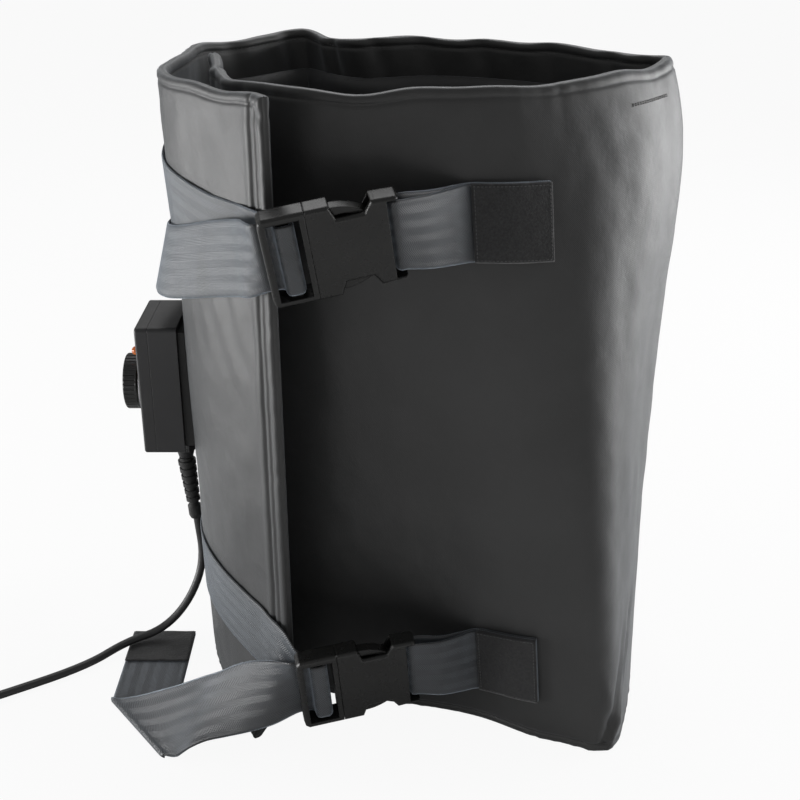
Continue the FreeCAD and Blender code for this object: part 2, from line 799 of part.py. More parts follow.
falling = [
    (Vector(-90, -120, 50.5), Vector(0.05, 0.1, 1)),
    (Vector(-104, -116.5, 45.5), Vector(0.1, 0.4, 0.92)),
    (Vector(-118, -112, 39), Vector(0.12, 0.62, 0.78)),
    (Vector(-131, -108, 31.5), Vector(0.12, 0.8, 0.6)),
]
landing = [
    arriving_cut(-48.9, 13.8, -37.9, 33),
    arriving_cut(-43, 8.4, -19.3, 22.6),
    arriving_cut(-39, 4.6, -2, 14),
    arriving_cut(-36, over + 0.3, 11, 8),
    arriving_cut(-33.6, over, 20, over + 1.7),
    arriving_cut(-31.7, over, 25.8, over + 0.2),
]
folded = [
    arriving_cut(-fold_lead, over, fold_lead, over),
    leaving_cut(-fold_back, fold_back, 1.0, (over + under) / 2),
    leaving_cut(-fold_back, fold_back),
]
lying = [
    leaving_cut(near_reach, far_reach)
    for near_reach, far_reach in (
        (3 - fold_back, 2 + fold_back), (10 - fold_back, 5 + fold_back), (0, 40), (24, 50),
        (46, 62), (67, 77), (88, 91.5), (106, 106),
    )
]
lower_start = graded(lower_band + ladder_stations(places["lower"], lower_band[-1]) + falling)
lower_stations = lower_start + landing + folded + lying
finish(soft("lower_strap", ribbon(lower_stations)), "lower_strap")


# Short straps: a loop round the socket's bar, both ends sewn under a patch
def bar_loop(place):
    """Round the socket's bar, from its wall side to its outer side."""
    middle = size("socket_length") - size("bar_radius") - 0.4
    radius = size("bar_radius") + webbing / 2 + 0.5
    stations = [on_buckle(place, middle + 4.5, -radius - 0.3)]
    for degrees in (-72, -36, 0, 36, 72, 108):
        angle = math.radians(degrees + 180)
        along = middle + radius * math.cos(angle)
        stations.append(on_buckle(place, along, -radius * math.sin(angle)))
    return [slanted(station) for station in stations]


def short_strap(level, first, last, first_height, last_height):
    inner = on_face
    outer = inner + webbing + gap
    patch_depth = outer + webbing / 2 + gap + size("patch_thickness") / 2 + 0.1

    def on_patch(depth):
        return along_wall([(last, last_height, depth), (first, first_height, depth)])

    wall_side = on_patch(inner)
    wall_side[-1] = slanted(wall_side[-1])
    front_side = on_patch(outer)[::-1]
    front_side[0] = slanted(front_side[0])
    turn = bar_loop(places[level])
    out = [between(wall_side[-1], turn[0], share, 5 * share) for share in (0.3, 0.62)]
    back = [between(turn[-1], front_side[0], share, 5 * (1 - share)) for share in (0.38, 0.7)]
    stations = graded(wall_side + out + turn + back + front_side)
    name = f"{level}_short_strap"
    finish(soft(name, ribbon(stations)), name)
    patch = f"{level}_hook_patch"
    patch_shape = ribbon(on_patch(patch_depth)[::-1], thickness=size("patch_thickness"))
    finish(soft(patch, patch_shape), patch)


short_strap("upper", 0.2425, 0.2875, 337, 336)
short_strap("lower", 0.2325, 0.2725, 50, 53)

# Patches on the far ends of the two tails
patch_lift = webbing / 2 + gap + 0.1 + size("patch_thickness") / 2


def end_patch(name, stations):
    """A patch on the last stations of a tail, on the same side of both."""
    lifted = []
    along = (stations[-1][0] - stations[0][0]).normalize()
    for spot, across, *cut_length in stations:
        side = Vector(across).normalize()
        lifted.append((spot + along.cross(side).normalize() * patch_lift, side))
    finish(soft(name, ribbon(lifted, thickness=size("patch_thickness"))), name)


far_end = lying[-1][0]
near_end = far_end - TO_BACK * size("tail_patch_length")
end_patch("lower_tail_patch", [(near_end, TO_LEFT), (far_end, TO_LEFT)])
end_patch("upper_tail_patch", upper_tail[-3:])


# Control box on the left wall: X to the front, Y up, Z outwards
BOX_PLACE = Placement(
    Vector(-size("box_back"), size("box_aside"), size("box_middle")),
    Rotation(Vector(0, -1, 0), Vector(0, 0, 1), Vector(-1, 0, 0), "ZXY"),
)
half_width = "box_width / 2"
half_height = "box_height / 2"
lid_face = "base_depth + lid_depth"
CORNERS = [(i, j) for i in (-1, 1) for j in (-1, 1)]


def corner_spot(i, j, inset="post_inset"):
    return f"{i} * ({half_width} - {inset})", f"{j} * ({half_height} - {inset})"


def box_shell(name, start, depth, floor_at_start):
    """A tray with rounded upright corners, its floor at one end."""
    outer = block(
        name + "_outer",
        (f"-{half_width}", f"-{half_height}", start),
        ("box_width", "box_height", depth),
    )
    rounded = soften(name + "_corners", outer, "box_round", is_depth_edge)
    if not floor_at_start:
        rounded = soften(name + "_face", rounded, "lid_round", is_face_edge)
    room = block(
        name + "_room",
        (
            f"box_wall - {half_width}",
            f"box_wall - {half_height}",
            f"{start} + box_wall" if floor_at_start else f"{start} - 1",
        ),
        (
            "box_width - 2 * box_wall",
            "box_height - 2 * box_wall",
            depth if floor_at_start else f"{depth} - box_wall + 1",
        ),
    )
    return rounded, room


def is_depth_edge(edge):
    return edge.BoundBox.ZLength > 1


def is_face_edge(edge):
    face = value(lid_face)
    return abs(edge.BoundBox.ZMin - face) < 0.01 and abs(edge.BoundBox.ZMax - face) < 0.01


def corner_rods(name, radius, start, length, inset="post_inset"):
    return [
        rod(f"{name}_{n}", (*corner_spot(i, j, inset), start), radius, length)
        for n, (i, j) in enumerate(CORNERS)
    ]


# Base: a tray with screw posts, holes for its own screws, the lead and gland
base_outer, base_room = box_shell("box_base_tray", "0", "base_depth", True)
base_posts = corner_rods("box_base_post", "post_radius", "0.5", "base_depth - 0.5")
base_tray = cut("box_base_hollow", base_outer, [base_room])
base_solid = join("box_base_solid", [base_tray, *base_posts])
gland_spot = ("-gland_aside", f"-{half_height}", "gland_depth")
gland_hole = rod("gland_hole", gland_spot, "gland_thread + 0.1", "6", ALONG_Y)
gland_hole.setExpression(".Placement.Base.y", formula(f"-{half_height} - 3"))
LEAD_SPOT = ("lead_aside", "-lead_drop")
lead_hole = rod("lead_hole", (*LEAD_SPOT, "-1"), "2.4", "box_wall + 2")
base_screw_holes = corner_rods("base_screw_hole", "screw_radius + 0.15", "-1", "box_wall + 2", "12")
lid_screw_holes = corner_rods("lid_screw_hole", "screw_radius", "base_depth - 12", "14")
base_tools = [gland_hole, lead_hole, *base_screw_holes, *lid_screw_holes]
finish(cut("box_base", base_solid, base_tools), "box_base", BOX_PLACE)

# Lid: a cap with a lip that sits inside the base
lid_outer, lid_room = box_shell("box_lid_cap", "base_depth + 0.1", "lid_depth - 0.1", False)
lid_hollow = cut("box_lid_hollow", lid_outer, [lid_room])
lid_posts = corner_rods("box_lid_post", "post_radius", "base_depth + 0.1", "lid_depth - 0.8")
lip_inset = "box_wall + 0.15"
lip_outer = block(
    "lid_lip_outer",
    (f"{lip_inset} - {half_width}", f"{lip_inset} - {half_height}", "base_depth - 2"),
    (f"box_width - 2 * ({lip_inset})", f"box_height - 2 * ({lip_inset})", "lid_depth"),
)
lip_room = block(
    "lid_lip_room",
    (f"{lip_inset} + 1 - {half_width}", f"{lip_inset} + 1 - {half_height}", "base_depth - 3"),
    (f"box_width - 2 * ({lip_inset}) - 2", f"box_height - 2 * ({lip_inset}) - 2", "lid_depth + 2"),
)
post_room = corner_rods("lid_post_room", "post_radius + 0.3", "base_depth - 4", "4.1")
lip = cut("lid_lip", lip_outer, [lip_room, *post_room])
lid_solid = join("box_lid_solid", [lid_hollow, lip, *lid_posts])
KNOB_SPOT = ("0", "-knob_drop")
LAMP_SPOT = ("lamp_aside", "lamp_rise")
lid_tools = [
    rod("control_hole", (*KNOB_SPOT, "0"), "bush_radius + 0.1", lid_face + " + 1"),
    rod("lamp_hole", (*LAMP_SPOT, "0"), "lamp_radius - 0.4", lid_face + " + 1"),
    *corner_rods("lid_screw_way", "screw_radius + 0.2", "base_depth - 1", "lid_depth + 2"),
    *corner_rods(
        "lid_screw_seat",
        "screw_head_radius + 0.3",
        f"{lid_face} - screw_head_height - 0.6",
        "screw_head_height + 2",
    ),
]
finish(cut("box_lid", lid_solid, lid_tools), "box_lid", BOX_PLACE)


# Screws: a head with a cross slot on a shank
def screws(name, head_start, length, outward, inset="post_inset"):
    pieces = []
    for n, (i, j) in enumerate(CORNERS):
        x, y = corner_spot(i, j, inset)
        head = rod(f"{name}_head_{n}", (x, y, head_start), "screw_head_radius", "screw_head_height")
        shank = rod(
            f"{name}_shank_{n}",
            (x, y, f"{head_start} - ({length})"),
            "screw_radius",
            f"{length} + 0.2",
        )
        top = f"{head_start} + screw_head_height - 0.7"
        cross = [
            block(f"{name}_slot_{n}", (f"{x} - 1.6", f"{y} - 0.3", top), ("3.2", "0.6", "1")),
            block(f"{name}_cross_{n}", (f"{x} - 0.3", f"{y} - 1.6", top), ("0.6", "3.2", "1")),
        ]
        pieces.append(cut(f"{name}_{n}", join(f"{name}_blank_{n}", [head, shank]), cross))
    row = doc.addObject("Part::Compound", name)
    row.Links = pieces
    return finish(row, name, BOX_PLACE)


screws("lid_screws", f"{lid_face} - screw_head_height - 0.5", "screw_length", 1)
screws("base_screws", "box_wall + 0.05", "box_wall + 2.2", 1, "12")


# Saddle between the flat back of the box and the curved wall
def wall_share(side, height):
    """Share of the length at which the left wall passes a depth into the view."""
    low, high = 0.80, 0.93
    for _ in range(30):
        middle = (low + high) / 2
        if plan_point(middle, height).y > side:
            low = middle
        else:
            high = middle
    return (low + high) / 2


saddle_margin = 4
saddle_outer = []
saddle_inner = []
for n in range(7):
    row_outer = []
    row_inner = []
    for m in range(7):
        side = (n / 6 - 0.5) * (size("box_width") - 2 * saddle_margin) + size("box_aside")
        rise = (m / 6 - 0.5) * (size("box_height") - 2 * saddle_margin) + size("box_middle")
        wall = wall_point(wall_share(side, rise), rise, gap)
        row_outer.append(Vector(-size("box_back") + 0.05, wall.y, rise))
        row_inner.append(wall)
    saddle_outer.append(row_outer)
    saddle_inner.append(row_inner)
saddle = slab(saddle_outer, saddle_inner)
lead_x = -size("box_back")
lead_y = size("box_aside") - size("lead_aside")
lead_z = size("box_middle") - size("lead_drop")
TO_RIGHT = Vector(1, 0, 0)
saddle = saddle.cut(Part.makeCylinder(2.4, 30, Vector(lead_x - 5, lead_y, lead_z), TO_RIGHT))
for i, j in CORNERS:
    spot = Vector(
        -size("box_back") - 1,
        size("box_aside") - i * (size("box_width") / 2 - 12),
        size("box_middle") + j * (size("box_height") / 2 - 12),
    )
    saddle = saddle.cut(Part.makeCylinder(size("screw_radius"), 3.4, spot, Vector(1, 0, 0)))
finish(soft("box_saddle", saddle), "box_saddle")

# Control: dial ring, knob, shaft, body and nut
dial_plate = rod("dial_plate", (*KNOB_SPOT, lid_face + " + 0.05"), "dial_radius", "dial_thickness")
dial_way = rod("dial_way", (*KNOB_SPOT, lid_face + " - 1"), "hub_radius + 2.6", "dial_thickness + 2")
finish(cut("dial_ring", dial_plate, [dial_way]), "dial_ring", BOX_PLACE)

KNOB_START = f"{lid_face} + knob_standoff"
knob_grip = rod("knob_grip", (*KNOB_SPOT, KNOB_START), "knob_radius", "knob_thickness")
knob_edge = soften("knob_edge", knob_grip, "1.2", lambda edge: edge.BoundBox.ZMin > value(KNOB_START) + 1 and edge.BoundBox.ZLength < 0.01)
knob_hub = rod("knob_hub", (*KNOB_SPOT, f"{lid_face} + 2.2"), "hub_radius", "knob_standoff - 2")
knob_blank = join("knob_blank", [knob_edge, knob_hub])
rib_count = int(size("knob_ribs"))
knob_tools = []
for n in range(rib_count):
    turn = 2 * math.pi * (n + 0.5) / rib_count
    spot = (
        f"knob_radius * {math.cos(turn):.5f} * 1.012",
        f"knob_radius * {math.sin(turn):.5f} * 1.012 - knob_drop",
        f"{KNOB_START} + 0.8",
    )
    knob_tools.append(rod(f"knob_groove_{n}", spot, "0.75", "knob_thickness"))
knob_tools.append(
    block(
        "knob_mark",
        ("-0.6", "knob_radius * 0.35 - knob_drop", f"{KNOB_START} + knob_thickness - 0.6"),
        ("1.2", "knob_radius", "2"),
    )
)
SHAFT_END = f"{KNOB_START} + knob_thickness - 2.5"
shaft_flat_start = f"{lid_face} + 2"
bore = rod("knob_bore_round", (*KNOB_SPOT, lid_face), "shaft_radius + 0.04", f"{SHAFT_END} + 0.2 - ({lid_face})")
bore_flat = block(
    "knob_bore_flat",
    ("-shaft_radius - 1", "shaft_radius - 1.06 - knob_drop", lid_face),
    ("2 * shaft_radius + 2", "3", "40"),
)
knob_tools.append(cut("knob_bore", bore, [bore_flat]))
finish(cut("control_knob", knob_blank, knob_tools), "control_knob", BOX_PLACE)

shaft_round = rod("shaft_round", (*KNOB_SPOT, "9"), "shaft_radius", f"{SHAFT_END} - 9")
shaft_flat = block(
    "shaft_flat",
    ("-shaft_radius - 1", "shaft_radius - 1.1 - knob_drop", shaft_flat_start),
    ("2 * shaft_radius + 2", "3", "40"),
)
finish(cut("control_shaft", shaft_round, [shaft_flat]), "control_shaft", BOX_PLACE)

BODY_TOP = f"{lid_face} - box_wall - 0.05"
control_case = block(
    "control_case",
    ("-13", "-13 - knob_drop", "6.5"),
    ("26", "26", f"{BODY_TOP} - 6.5"),
)
control_bush = rod("control_bush", (*KNOB_SPOT, "12"), "bush_radius", f"{lid_face} + 1.9 - 12")
control_blank = join("control_blank", [control_case, control_bush])
shaft_way = rod("shaft_way", (*KNOB_SPOT, "8.6"), "shaft_radius + shaft_clearance", "60")
finish(cut("control_body", control_blank, [shaft_way]), "control_body", BOX_PLACE)
nut_blank = hexagon("control_nut_blank", (*KNOB_SPOT, lid_face + " + 0.05"), "8", "1.7")
nut_way = rod("control_nut_way", (*KNOB_SPOT, lid_face + " - 1"), "bush_radius + 0.02", "6")
finish(cut("control_nut", nut_blank, [nut_way]), "control_nut", BOX_PLACE)

# Pilot lamp: a domed lens in the lid and its holder behind
lens_stem = rod("lens_stem", (*LAMP_SPOT, f"{lid_face} - box_wall - 1"), "lamp_radius - 0.5", "box_wall + 2")
lens_rise = rod("lens_rise", (*LAMP_SPOT, lid_face + " + 0.05"), "lamp_radius", "lamp_reach - lamp_radius")
lens_dome = doc.addObject("Part::Sphere", "lens_dome")
bind(lens_dome, Radius="lamp_radius")
lens_dome.Angle1 = 0
put(lens_dome, (*LAMP_SPOT, lid_face + " + lamp_reach - lamp_radius"))
finish(join("lamp_lens", [lens_stem, lens_rise, lens_dome]), "lamp_lens", BOX_PLACE)
lamp_case = rod("lamp_case", (*LAMP_SPOT, f"{lid_face} - box_wall - 9"), "4", "8.9")
lamp_well = rod("lamp_well", (*LAMP_SPOT, f"{lid_face} - box_wall - 1.2"), "lamp_radius - 0.4", "3")
finish(cut("lamp_body", lamp_case, [lamp_well]), "lamp_body", BOX_PLACE)

# Terminal block in the base, under the control
TERMINALS = ((-1, 0), (0, 0), (1, 0))
block_solid = block("terminal_solid", ("-9", "-38", "box_wall + 0.05"), ("21.5", "12", "9"))
terminal_tools = []
for n, (step, _) in enumerate(TERMINALS):
    x = f"1.75 + {7 * step}"
    terminal_tools.append(rod(f"terminal_screw_way_{n}", (x, "-32", "6"), "1.7", "8"))
    terminal_tools.append(rod(f"terminal_wire_way_{n}", (x, "-39", "6.2"), "1.4", "14", ALONG_Y))
finish(cut("terminal_block", block_solid, terminal_tools), "terminal_block", BOX_PLACE)

# Lead from the terminals through the back of the box to the heating mat
lead_share = wall_share(lead_y, lead_z)
lead_end = wall_point(lead_share, lead_z, -mat_top + 0.05)
lead_rod = doc.addObject("Part::Cylinder", "lead_rod")
bind(lead_rod, Radius="1.5")
lead_rod.Height = lead_end.x - lead_x + size("base_depth") * 0.6
lead_rod.Placement = Placement(Vector(lead_end.x, lead_y, lead_z), Rotation(Vector(0, 1, 0), -90))
finish(lead_rod, "heater_lead")

# Cord gland in the bottom wall of the base
GLAND_X = -size("box_back") - size("gland_depth")
GLAND_Y = size("box_aside") + size("gland_aside")
BOX_BOTTOM = size("box_middle") - size("box_height") / 2
DOWN = Rotation(Vector(1, 0, 0), 180)
GLAND_TOP = Placement(Vector(GLAND_X, GLAND_Y, BOX_BOTTOM), DOWN)
cord_way_radius = "cord_diameter / 2 + 0.2"
flange = hexagon("gland_flange_blank", ("0", "0", "0.05"), "gland_radius", "gland_flange")
gland_stem = rod("gland_stem", ("0", "0", "-box_wall - 3.5"), "gland_thread", "box_wall + 3.6 + gland_flange + 9")
gland_solid = join("gland_solid", [flange, gland_stem])
gland_way = rod("gland_way", ("0", "0", "-20"), cord_way_radius, "60")
finish(cut("gland_body", gland_solid, [gland_way]), "gland_body", GLAND_TOP)
HEX_TURN = Rotation(Vector(0, 0, 1), 30)
locknut_blank = hexagon("locknut_blank", ("0", "0", "-box_wall - 2.6"), "5.7", "2.5", HEX_TURN)
locknut_way = rod("locknut_way", ("0", "0", "-20"), "gland_thread + 0.02", "40")
finish(cut("gland_locknut", locknut_blank, [locknut_way]), "gland_locknut", GLAND_TOP)
NUT_START = "gland_flange + 0.1"
nut_hex = hexagon("gland_nut_hex", ("0", "0", NUT_START), "gland_radius", "gland_nut_length * 0.55")
nut_dome = cone(
    "gland_nut_dome",
    ("0", "0", f"{NUT_START} + gland_nut_length * 0.55"),
    "gland_radius * 0.86",
    "gland_radius * 0.66",
    "gland_nut_length * 0.45 - gland_flange",
)
nut_solid = join("gland_nut_solid", [nut_hex, nut_dome])
stem_way = rod("gland_nut_way", ("0", "0", "0"), "gland_thread + 0.02", "gland_flange + 9.4")
nut_cord_way = rod("gland_nut_cord_way", ("0", "0", "-5"), "cord_diameter / 2 + 0.6", "60")
finish(cut("gland_nut", nut_solid, [stem_way, nut_cord_way]), "gland_nut", GLAND_TOP)

# Bend relief: a tapered sleeve with ribs, leaning a little to the wall
boot_rib_count = int(size("boot_ribs"))
boot_slim = size("boot_end_radius")
boot_wide = size("boot_radius")
boot_long = size("boot_length")
boot_pitch = boot_long * 0.72 / boot_rib_count
boot_profile = [(0, boot_wide * 0.8), (boot_pitch * 0.4, boot_wide * 0.8)]
for n in range(boot_rib_count):
    start = boot_pitch * (n + 0.4)
    crest = boot_wide - (boot_wide - boot_slim) * n / boot_rib_count
    waist = crest - 1.5
    boot_profile += [
        (start, crest),
        (start + boot_pitch * 0.55, crest),
        (start + boot_pitch * 0.55, waist),
        (start + boot_pitch, waist),
    ]
boot_profile += [
    (boot_long * 0.8, boot_slim),
    (boot_long * 0.95, boot_slim),
    (boot_long, boot_slim - 0.9),
]
way_radius = size("cord_diameter") / 2 + 0.5
boot_outline = [Vector(radius, 0, z) for z, radius in boot_profile]
boot_outline += [Vector(way_radius, 0, boot_long), Vector(way_radius, 0, 0)]
boot_face = Part.Face(Part.makePolygon(boot_outline + boot_outline[:1]))
boot = boot_face.revolve(Vector(0, 0, 0), Vector(0, 0, 1), 360)
BOOT_TOP = BOX_BOTTOM - size("gland_nut_length") - 0.6
boot_tilt = math.radians(size("boot_tilt"))
boot_axis = Vector(math.sin(boot_tilt), 0, -math.cos(boot_tilt))
BOOT_START = Vector(GLAND_X, GLAND_Y, BOOT_TOP)
finish(
    soft("bend_relief", boot),
    "bend_relief",
    Placement(BOOT_START, Rotation(Vector(0, 0, 1), boot_axis)),
)


# Cord: straight runs joined by tangent arcs
def cord_tube(route, radius):
    """A round tube along a route of corner points, and its arcs' radii."""
    runs = [after - before for before, after in zip(route, route[1:])]
    edges = []
    radii = []
    start = route[0]
    for n in range(1, len(route) - 1):
        arriving = Vector(runs[n - 1]).normalize()
        leaving = Vector(runs[n]).normalize()
        turn = arriving.getAngle(leaving)
        reach = 0.45 * min(runs[n - 1].Length, runs[n].Length)
        bend = reach / math.tan(turn / 2)
        radii.append(round(bend, 1))
        enter = route[n] - arriving * reach
        leave = route[n] + leaving * reach
        inward = (leaving - arriving).normalize()
        middle = route[n] + inward * (bend / math.cos(turn / 2) - bend)
        edges.append(Part.makeLine(start, enter))
        edges.append(Part.Arc(enter, middle, leave).toShape())
        start = leave
    edges.append(Part.makeLine(start, route[-1]))
    path = Part.Wire(edges)
    ring = Part.Wire(Part.makeCircle(radius, route[0], runs[0]))
    tube = path.makePipeShell([ring], True, True)
    print("arc radii", radii, "tube", round(tube.Volume), "section x length", round(math.pi * radius**2 * path.Length))
    return tube


cord_radius = size("cord_diameter") / 2
BOOT_END = BOOT_START + boot_axis * boot_long
COIL_MIDDLE = Vector(-345, -70, 0)
coil_height = size("coil_section") + 1.4
coil_radius = size("coil_radius")
coil_turn = math.radians(-60)
coil_entry = COIL_MIDDLE + Vector(
    coil_radius * math.cos(coil_turn),
    coil_radius * math.sin(coil_turn),
    coil_height,
)
cord_route = [
    BOOT_START + Vector(0, 0, 37),
    BOOT_START,
    BOOT_END,
    Vector(-153.5, 24, 57),
    Vector(-164.5, 12, 30),
    Vector(-184.5, 6, 9.3),
    Vector(-209, -4, 6.3),
    Vector(-232, -28, 2.9),
    Vector(-283, -60.5, 2.9),
    coil_entry,
]
finish(soft("power_cord", cord_tube(cord_route, cord_radius)), "power_cord")

coil = doc.addObject("Part::Torus", "coil_ring")
bind(coil, Radius1="coil_radius", Radius2="coil_section")
coil.Placement.Base = COIL_MIDDLE + Vector(0, 0, coil_height)
finish(coil, "cord_coil")

tie_middle = COIL_MIDDLE + Vector(0, coil_radius, coil_height)
tie_inner = size("coil_section") + 0.35
tie = Part.makeCylinder(tie_inner + 0.9, 8, tie_middle - Vector(4, 0, 0), Vector(1, 0, 0))
tie = tie.cut(Part.makeCylinder(tie_inner, 12, tie_middle - Vector(6, 0, 0), Vector(1, 0, 0)))
finish(soft("cord_tie", tie), "cord_tie")

# Plug at the far end, beside the coil: a ribbed grip, two pins, earth clips
plug_radius = size("plug_radius")
NECK_END = Vector(COIL_MIDDLE.x - coil_radius, COIL_MIDDLE.y + 52, plug_radius)
lead_start = COIL_MIDDLE + Vector(-coil_radius, 0, coil_height)
lead_rise = NECK_END.z - lead_start.z
lead_half = (NECK_END.y - lead_start.y - lead_rise**2 / (NECK_END.y - lead_start.y)) / 2
plug_route = [
    lead_start,
    Vector(NECK_END.x, NECK_END.y - math.hypot(lead_half, lead_rise), NECK_END.z),
    NECK_END,
]
finish(soft("plug_lead", cord_tube(plug_route, cord_radius)), "plug_lead")

ALONG_PLUG = Placement(NECK_END, Rotation(Vector(0, 0, 1), Vector(0, 1, 0)))
neck = cone("plug_neck_sleeve", ("0", "0", "0"), "4.4", "7.5", "plug_neck + 1")
grip = cone("plug_grip", ("0", "0", "plug_neck"), "10", "plug_radius - 1.5", "plug_length * 0.45")
shell = rod("plug_shell", ("0", "0", "plug_neck + plug_length * 0.45"), "plug_radius", "plug_length * 0.55")
plug_solid = join("plug_solid", [neck, grip, shell])
plug_end = "plug_neck + plug_length"
plug_tools = []
for side in (-1, 1):
    plug_tools.append(
        block(
            f"clip_recess_{side + 1}",
            ("-3", f"{side} * (plug_radius - 1) - 1.5", f"{plug_end} - 15"),
            ("6", "3", "16"),
        )
    )
    plug_tools.append(
        rod(
            f"pin_socket_{side + 1}",
            (f"{side} * pin_spacing / 2", "0", f"{plug_end} - pin_root_length"),
            "pin_root_radius",
            "pin_root_length + 1",
        )
    )
finish(cut("plug_body", plug_solid, plug_tools), "plug_body", ALONG_PLUG)
pins = []
clips = []
for side in (-1, 1):
    stem = rod(
        f"pin_stem_{side + 1}",
        (f"{side} * pin_spacing / 2", "0", plug_end),
        "pin_radius",
        "pin_length",
    )
    tip_edge = soften(
        f"pin_{side + 1}",
        stem,
        "1",
        lambda edge: edge.BoundBox.ZMin > value(plug_end) + 2 and edge.BoundBox.ZLength < 0.01,
    )
    root = rod(
        f"pin_root_{side + 1}",
        (f"{side} * pin_spacing / 2", "0", f"{plug_end} - pin_root_length"),
        "pin_root_radius",
        "pin_root_length + 1",
    )
    pins.append(join(f"rooted_pin_{side + 1}", [tip_edge, root]))
    clips.append(
        block(
            f"clip_{side + 1}",
            ("-2.9", f"{side} * (plug_radius - 1.6) - 0.5", f"{plug_end} - 14.9"),
            ("5.8", "1", "14.8"),
        )
    )
pin_pair = doc.addObject("Part::Compound", "plug_pins")
pin_pair.Links = pins
finish(pin_pair, "plug_pins", ALONG_PLUG)
clip_pair = doc.addObject("Part::Compound", "plug_earth_clips")
clip_pair.Links = clips
finish(clip_pair, "plug_earth_clips", ALONG_PLUG)

# The cover's own way through for the lead
cover_way = Part.makeCylinder(2, 30, Vector(-size("box_back") - 5, lead_y, lead_z), Vector(1, 0, 0))
cover.Shape = cover_shape.cut(cover_way)

# Check every object and write one file for each node
doc.recompute()
for thing in doc.Objects:
    broken = [state for state in thing.State if state in ("Invalid", "Error")]
    if broken:
        raise RuntimeError(f"{thing.Name}: {broken}")
os.makedirs("parts", exist_ok=True)
for piece in nodes:
    shape = piece.Shape
    if shape.isNull() or not shape.isValid() or not shape.Solids:
        print("NOT VALID", piece.Label)
    print(piece.Label, round(shape.Volume, 1), len(shape.Solids))
    shape.exportStep(f"parts/{piece.Label}.step")
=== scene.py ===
# %% [markdown]
# # Drum heater
# A padded electric jacket that is buckled round a small drum. Its cover is one
# long quilted sheet, bent into a spiral whose outer end laps over the front.
# Two webbing straps, two side-release buckles, a control box and a mains lead
# go with it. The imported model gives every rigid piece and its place. This file
# makes the cloth, the webbing, the cord and every finish around it.

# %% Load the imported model
import json
import math

import bmesh
import bpy
import numpy as np
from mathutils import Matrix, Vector


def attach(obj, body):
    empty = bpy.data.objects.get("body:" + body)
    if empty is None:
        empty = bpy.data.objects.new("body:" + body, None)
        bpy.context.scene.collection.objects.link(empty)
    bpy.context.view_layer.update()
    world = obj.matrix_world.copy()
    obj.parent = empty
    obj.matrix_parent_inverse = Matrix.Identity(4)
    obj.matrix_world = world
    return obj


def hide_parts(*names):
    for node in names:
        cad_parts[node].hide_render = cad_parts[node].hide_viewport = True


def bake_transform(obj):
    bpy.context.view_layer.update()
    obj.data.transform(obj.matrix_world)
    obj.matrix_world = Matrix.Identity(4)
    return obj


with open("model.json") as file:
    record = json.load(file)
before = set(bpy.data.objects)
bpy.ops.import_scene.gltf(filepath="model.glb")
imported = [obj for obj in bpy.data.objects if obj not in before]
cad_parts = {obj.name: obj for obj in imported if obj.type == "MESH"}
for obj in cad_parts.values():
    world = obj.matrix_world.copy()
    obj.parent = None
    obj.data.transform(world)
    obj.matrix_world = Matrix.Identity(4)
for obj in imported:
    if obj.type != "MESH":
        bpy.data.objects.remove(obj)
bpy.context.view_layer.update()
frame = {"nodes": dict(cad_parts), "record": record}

MM = 0.001
scene = bpy.context.scene

# %% [markdown]
# ## Camera
# The picture was taken from a little above the rim. A lens of 56 mm on a 36 mm
# sensor, half a metre up and three quarters of a metre away, gives the same
# converging walls, so the outline can be compared point by point.

# %% Camera
CAMERA_SPOT = Vector((-13, -747, 535)) * MM
CAMERA_PITCH = math.radians(24.5)
LENS = 56.25
SENSOR_WIDTH = 36

camera_data = bpy.data.cameras.new("camera")
camera_data.sensor_width = SENSOR_WIDTH
camera_data.lens = LENS
camera = bpy.data.objects.new("camera", camera_data)
camera.location = CAMERA_SPOT
camera.rotation_euler = (math.radians(90) - CAMERA_PITCH, 0, 0)
scene.collection.objects.link(camera)
scene.camera = camera
print("camera at", [round(x, 3) for x in CAMERA_SPOT])

# %% [markdown]
# ## Meshes from rows of points
# Cloth and webbing are grids: rows of points that run round a section. One
# helper turns such a grid into a mesh, with a map in metres that the weave can
# follow. A second one merges the points that two sheets share, and turns every
# face outwards.


# %% Grid helper
def grid_object(name, grid, chart, wrap, material):
    """A mesh from rows x columns points in metres, with chart as its map."""
    rows, cols = grid.shape[:2]
    index = np.arange(rows * cols).reshape(rows, cols)
    here = index if wrap else index[:, :-1]
    beside = np.roll(index, -1, axis=1) if wrap else index[:, 1:]
    quads = np.stack([here[:-1], beside[:-1], beside[1:], here[1:]], axis=-1).reshape(-1, 4)
    mesh = bpy.data.meshes.new(name)
    mesh.from_pydata(grid.reshape(-1, 3).tolist(), [], quads.tolist())
    columns = chart.shape[1]
    spot = np.arange(rows * columns).reshape(rows, columns)
    here = spot[:, :-1]
    beside = spot[:, 1:]
    corners = np.stack([here[:-1], beside[:-1], beside[1:], here[1:]], axis=-1).reshape(-1)
    layer = mesh.uv_layers.new(name="cloth")
    layer.data.foreach_set("uv", chart.reshape(-1, 2)[corners].astype(np.float32).ravel())
    mesh.materials.append(material)
    obj = bpy.data.objects.new(name, mesh)
    scene.collection.objects.link(obj)
    return obj


def weld(obj, within=0.00002):
    """Merge doubles and turn every face outwards."""
    shape = bmesh.new()
    shape.from_mesh(obj.data)
    bmesh.ops.remove_doubles(shape, verts=shape.verts, dist=within)
    bmesh.ops.recalc_face_normals(shape, faces=shape.faces)
    for face in shape.faces:
        face.smooth = True
    shape.to_mesh(obj.data)
    shape.free()
    return obj


print("grid helpers ready")

# %% [markdown]
# Nothing sewn is quite even. Sums of sines with lengths drawn between two
# limits give an uneven line or an uneven sheet, and each has a seed of its own,
# so that every run draws the same cloth.


